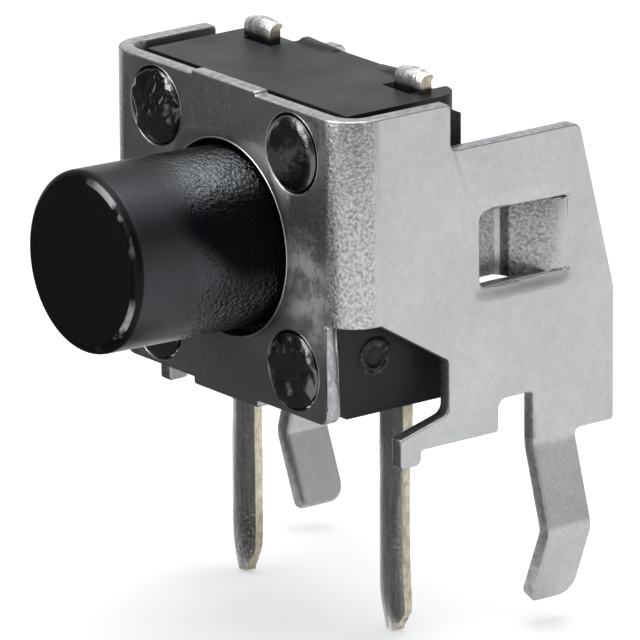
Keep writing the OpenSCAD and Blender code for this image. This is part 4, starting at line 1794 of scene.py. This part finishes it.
            # Painted shade where the stub stands in its pit.
            vert[painted_shade] = 1.0 if vert.co.z < self.base_z[1] + 0.1 else 0.0
            if vert.co.z > top - 0.25:
                across = (vert.co.x - self.middle) / self.stub_w
                sunk = 0.05 * across * across * 4
                vert.co.z -= sunk + 0.03 * max(0.0, noise.noise(vert.co * 3))
        bmesh.ops.recalc_face_normals(bm, faces=bm.faces[:])
        bm.normal_update()
        for face in bm.faces:
            face.material_index = 1 if abs(face.normal.x) > 0.9 else 0
        piece = make_object(bm, self.node + "_stub", (self.plating, self.cut))
        add_edges_finish(piece, 0.03, segments=3)
        return piece

    def contact(self) -> Piece:
        """Builds the contact under the dome: a pad on the left lead, an open ring on the right one."""
        bm = bmesh.new()
        depth = Vector((0, -self.front - self.contact_y, 0))
        inner_x = 0.0
        if self.side < 0:
            loop = circle(0, self.axis_z, self.pad_r, 32)
        else:
            inner, outer = self.ring_r
            inner_x = (inner + outer) / 2
            opened = self.ring_turn
            turns = [math.radians(-opened + 2 * opened * i / 48) for i in range(49)]
            loop = [
                Vector((r * math.cos(a), self.axis_z + r * math.sin(a)))
                for r, side in ((outer, turns), (inner, turns[::-1])) for a in side
            ]
        prism(bm, in_front_plane(loop, self.contact_y), depth)
        low = self.axis_z - self.tongue_w / 2
        high = low + self.tongue_w
        bar = [(inner_x, low), (self.middle, low), (self.middle, high), (inner_x, high)]
        prism(bm, [Vector((x, self.front, z)) for x, z in bar], Vector((0, self.thick, 0)))
        bmesh.ops.recalc_face_normals(bm, faces=bm.faces[:])
        return make_object(bm, self.node + "_contact", (self.plating,))

    def build(self) -> list[Piece]:
        """Builds the lead and returns its objects."""
        pieces = [self.strip(), self.stub(), self.contact()]
        for piece in pieces:
            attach(piece, Body.CASE.value)
        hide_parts(self.node)
        return pieces


@dataclass
class Dome:
    """Dished snap dome under the plunger's nub.

    Attributes:
        steel: Material of the dome.
        low: Lowest corner of the CAD node, in millimetres.
        high: Highest corner of the CAD node, in millimetres.
        thick: Thickness of the dome in millimetres.
        pressed_part: Part of its depth that is left when the plunger is pressed; not used.
    """

    steel: Material
    low: Vector
    high: Vector
    thick: float = 0.064
    pressed_part: float = 0.26

    def build(self) -> Piece:
        """Builds the dome and returns its object."""
        axis_z = (self.low.z + self.high.z) / 2
        rim_r = self.high.x
        rise = self.high.y - self.low.y
        ball_r = (rim_r ** 2 + rise ** 2) / (2 * rise)
        turns = [math.asin(rim_r / ball_r) * i / 16 for i in range(17)]
        arc = [(ball_r * math.sin(a), self.low.y + ball_r * (1 - math.cos(a))) for a in turns]
        bm = bmesh.new()
        spin(bm, arc, 64)
        bmesh.ops.remove_doubles(bm, verts=bm.verts[:], dist=MERGE)
        face_forwards(bm)
        bmesh.ops.translate(bm, verts=bm.verts[:], vec=(0, 0, axis_z))
        piece = make_object(bm, "dome_disc", (self.steel, self.steel))
        add_thickness(piece, self.thick)
        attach(piece, Body.CASE.value)
        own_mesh(piece)
        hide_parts("snap_dome")
        return piece


@dataclass(frozen=True)
class Studio:
    """Floor, lights and camera. Lengths are in millimetres and angles in degrees.

    Attributes:
        floor_z: Height of the floor.
        floor_glow: Light that the floor gives off.
        azimuth: Angle of the camera from the front towards the right.
        elevation: Its angle over the horizon.
        roll: Its turn about its own axis.
        distance: Its distance from the target.
        target: Place in the middle of the picture.
        lens: Focal length on a sensor 36 mm wide.
        horizon: Brightness of the surround at the horizon.
        zenith: Brightness of the surround overhead.
    """

    floor_z: float
    floor_glow: float = 0.42
    azimuth: float = 52.432
    elevation: float = 16.887
    roll: float = -0.362
    distance: float = 190.92
    target: Triple = (0.261, -0.208, 1.907)
    lens: float = 584.07
    horizon: float = 0.42
    zenith: float = 1.3

    def floor(self) -> None:
        """Lays the pale floor."""
        bm = bmesh.new()
        bmesh.ops.create_grid(bm, x_segments=1, y_segments=1, size=600)
        bmesh.ops.translate(bm, verts=bm.verts[:], vec=(0, 0, self.floor_z))
        paper = Glow("pale_paper", (0.66, 0.66, 0.66), 0.9, level=self.floor_glow)
        make_object(bm, "floor", (paper.build(),))

    def card(
        self, name: str, middle: Vector, facing: Vector, size: tuple[float, float], level: float
    ) -> None:
        """Adds a card that only reflections see.

        Args:
            name: Name of the card.
            middle: Its middle, in millimetres.
            facing: Direction it faces.
            size: Width and height in millimetres.
            level: Its brightness.
        """
        bm = bmesh.new()
        bmesh.ops.create_grid(bm, x_segments=1, y_segments=1, size=0.5)
        bmesh.ops.scale(bm, vec=(*size, 1), verts=bm.verts[:])
        turn = facing.to_track_quat("Z", "Y").to_matrix()
        bmesh.ops.rotate(bm, verts=bm.verts[:], matrix=turn)
        bmesh.ops.translate(bm, verts=bm.verts[:], vec=middle)
        paint = Glow(name, (0, 0, 0), 1.0, level=level, mirror=0.0)
        card = make_object(bm, name, (paint.build(),))
        card.visible_camera = False
        card.visible_diffuse = False
        card.visible_shadow = False

    def standing_card(
        self, name: str, turn: float, lift: float, away: float, size: tuple[float, float],
        level: float,
    ) -> None:
        """Stands a card round the switch, facing it.

        Args:
            name: Name of the card.
            turn: Direction of its middle, in degrees from the front towards the right.
            lift: Height of its middle, in degrees over the horizon.
            away: Distance in millimetres.
            size: Width and height in millimetres.
            level: Its brightness.
        """
        outward = direction(turn, lift)
        self.card(name, outward * away + Vector((0, 0, 3)), -outward, size, level)

    def light(self, name: str, place: Triple, size: float, power: float) -> None:
        """Adds one soft light.

        Args:
            name: Name of the light.
            place: Where it stands, in millimetres.
            size: Its side in millimetres.
            power: Its power in watts.
        """
        lamp = bpy.data.lights.new(name, "AREA")
        lamp.size = size * MM
        lamp.energy = power
        holder = bpy.data.objects.new(name, lamp)
        holder.location = Vector(place) * MM
        aim = Vector((0, 0, 2)) - Vector(place)
        holder.rotation_euler = aim.to_track_quat("-Z", "Y").to_euler()
        bpy.context.scene.collection.objects.link(holder)

    def world(self) -> None:
        """Sets a pale surround that grows brighter overhead."""
        world = bpy.data.worlds.new("studio")
        world.use_nodes = True
        tree = world.node_tree
        background = tree.nodes["Background"]
        coords = tree.nodes.new("ShaderNodeTexCoord")
        split = tree.nodes.new("ShaderNodeSeparateXYZ")
        tree.links.new(coords.outputs["Generated"], split.inputs["Vector"])
        level = Finish.spread(tree, split.outputs["Z"], 0.5, 0.8, self.horizon, self.zenith)
        tree.links.new(level, background.inputs["Strength"])
        background.inputs["Color"].default_value = (0.965, 0.98, 1, 1)
        bpy.context.scene.world = world

    def camera(self) -> None:
        """Places the camera at the photograph's viewing angle."""
        data = bpy.data.cameras.new("camera")
        data.lens = self.lens
        data.sensor_width = 36
        data.clip_start = 0.01
        data.clip_end = 5
        back = direction(self.azimuth, self.elevation)
        place = (Vector(self.target) + back * self.distance) * MM
        roll = Matrix.Rotation(math.radians(self.roll), 3, "Z")
        turn = (-back).to_track_quat("-Z", "Y").to_matrix() @ roll
        camera = bpy.data.objects.new("camera", data)
        camera.matrix_world = Matrix.Translation(place) @ turn.to_4x4()
        bpy.context.scene.collection.objects.link(camera)
        bpy.context.scene.camera = camera

    def build(self) -> None:
        """Sets up the whole studio."""
        self.floor()
        self.world()
        low_place = Vector((-23.5, -20.5, self.floor_z + 0.05))
        self.card("dark_card_low", low_place, Z_AXIS, (53, 40), 0.08)
        self.standing_card("dark_card_left", -39, 10, 45, (56, 50), 0.04)
        self.standing_card("bright_card_front", -15, 40, 40, (21, 36), 6.0)
        self.standing_card("pale_card_back", 125, 9, 45, (44, 18), 0.85)
        self.standing_card("dark_card_back", 133, 34, 44, (44, 22), 0.2)
        self.standing_card("pale_card_far", -128, 16, 50, (36, 16), 1.15)
        self.standing_card("dark_card_right", 47, 33, 40, (34, 22), 0.05)
        self.light("key_light", (-10, 10, 140), 110, 0.1)
        self.camera()
        bpy.context.scene.view_settings.view_transform = "Standard"


def corners_of(node: str) -> tuple[Vector, Vector]:
    """Returns a node's lowest and highest corners in millimetres."""
    low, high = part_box(node)
    return Vector(low) / MM, Vector(high) / MM


def main() -> None:
    """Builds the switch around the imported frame."""
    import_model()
    finishes = Finishes()
    lead = finishes.lead.build()
    lead_cut = finishes.lead_cut.build()
    bracket_low, bracket_high = corners_of("bracket")
    base_low, base_high = corners_of("base")
    bracket = Bracket(
        finishes.tin.build(), finishes.tin_cut.build(), finishes.tin_lip_highlight.build(),
        bracket_low.y, bracket_high.y, bracket_low.z,
    )
    base = Base(finishes.base.build(), finishes.post.build(), base_low, base_high)
    plunger = Plunger(finishes.plunger.build(), *corners_of("plunger"))
    dome = Dome(finishes.dome.build(), *corners_of("snap_dome"))
    builders: list[tuple[str, Bracket | Base | Plunger | Dome | Lead]] = [
        ("bracket", bracket), ("base", base), ("plunger", plunger), ("dome", dome),
    ]
    heights = (base_low.z, base_high.z)
    for node, side in (("lead_left", -1.0), ("lead_right", 1.0)):
        builders.append((node, Lead(lead, lead_cut, node, side, *corners_of(node), heights)))
    for name, builder in builders:
        builder.build()
        LOG.info("built %s", name)
    Studio(corners_of("lead_left")[0].z - 0.02).build()


if __name__ == "__main__":
    logging.basicConfig(level=logging.INFO)
    main()
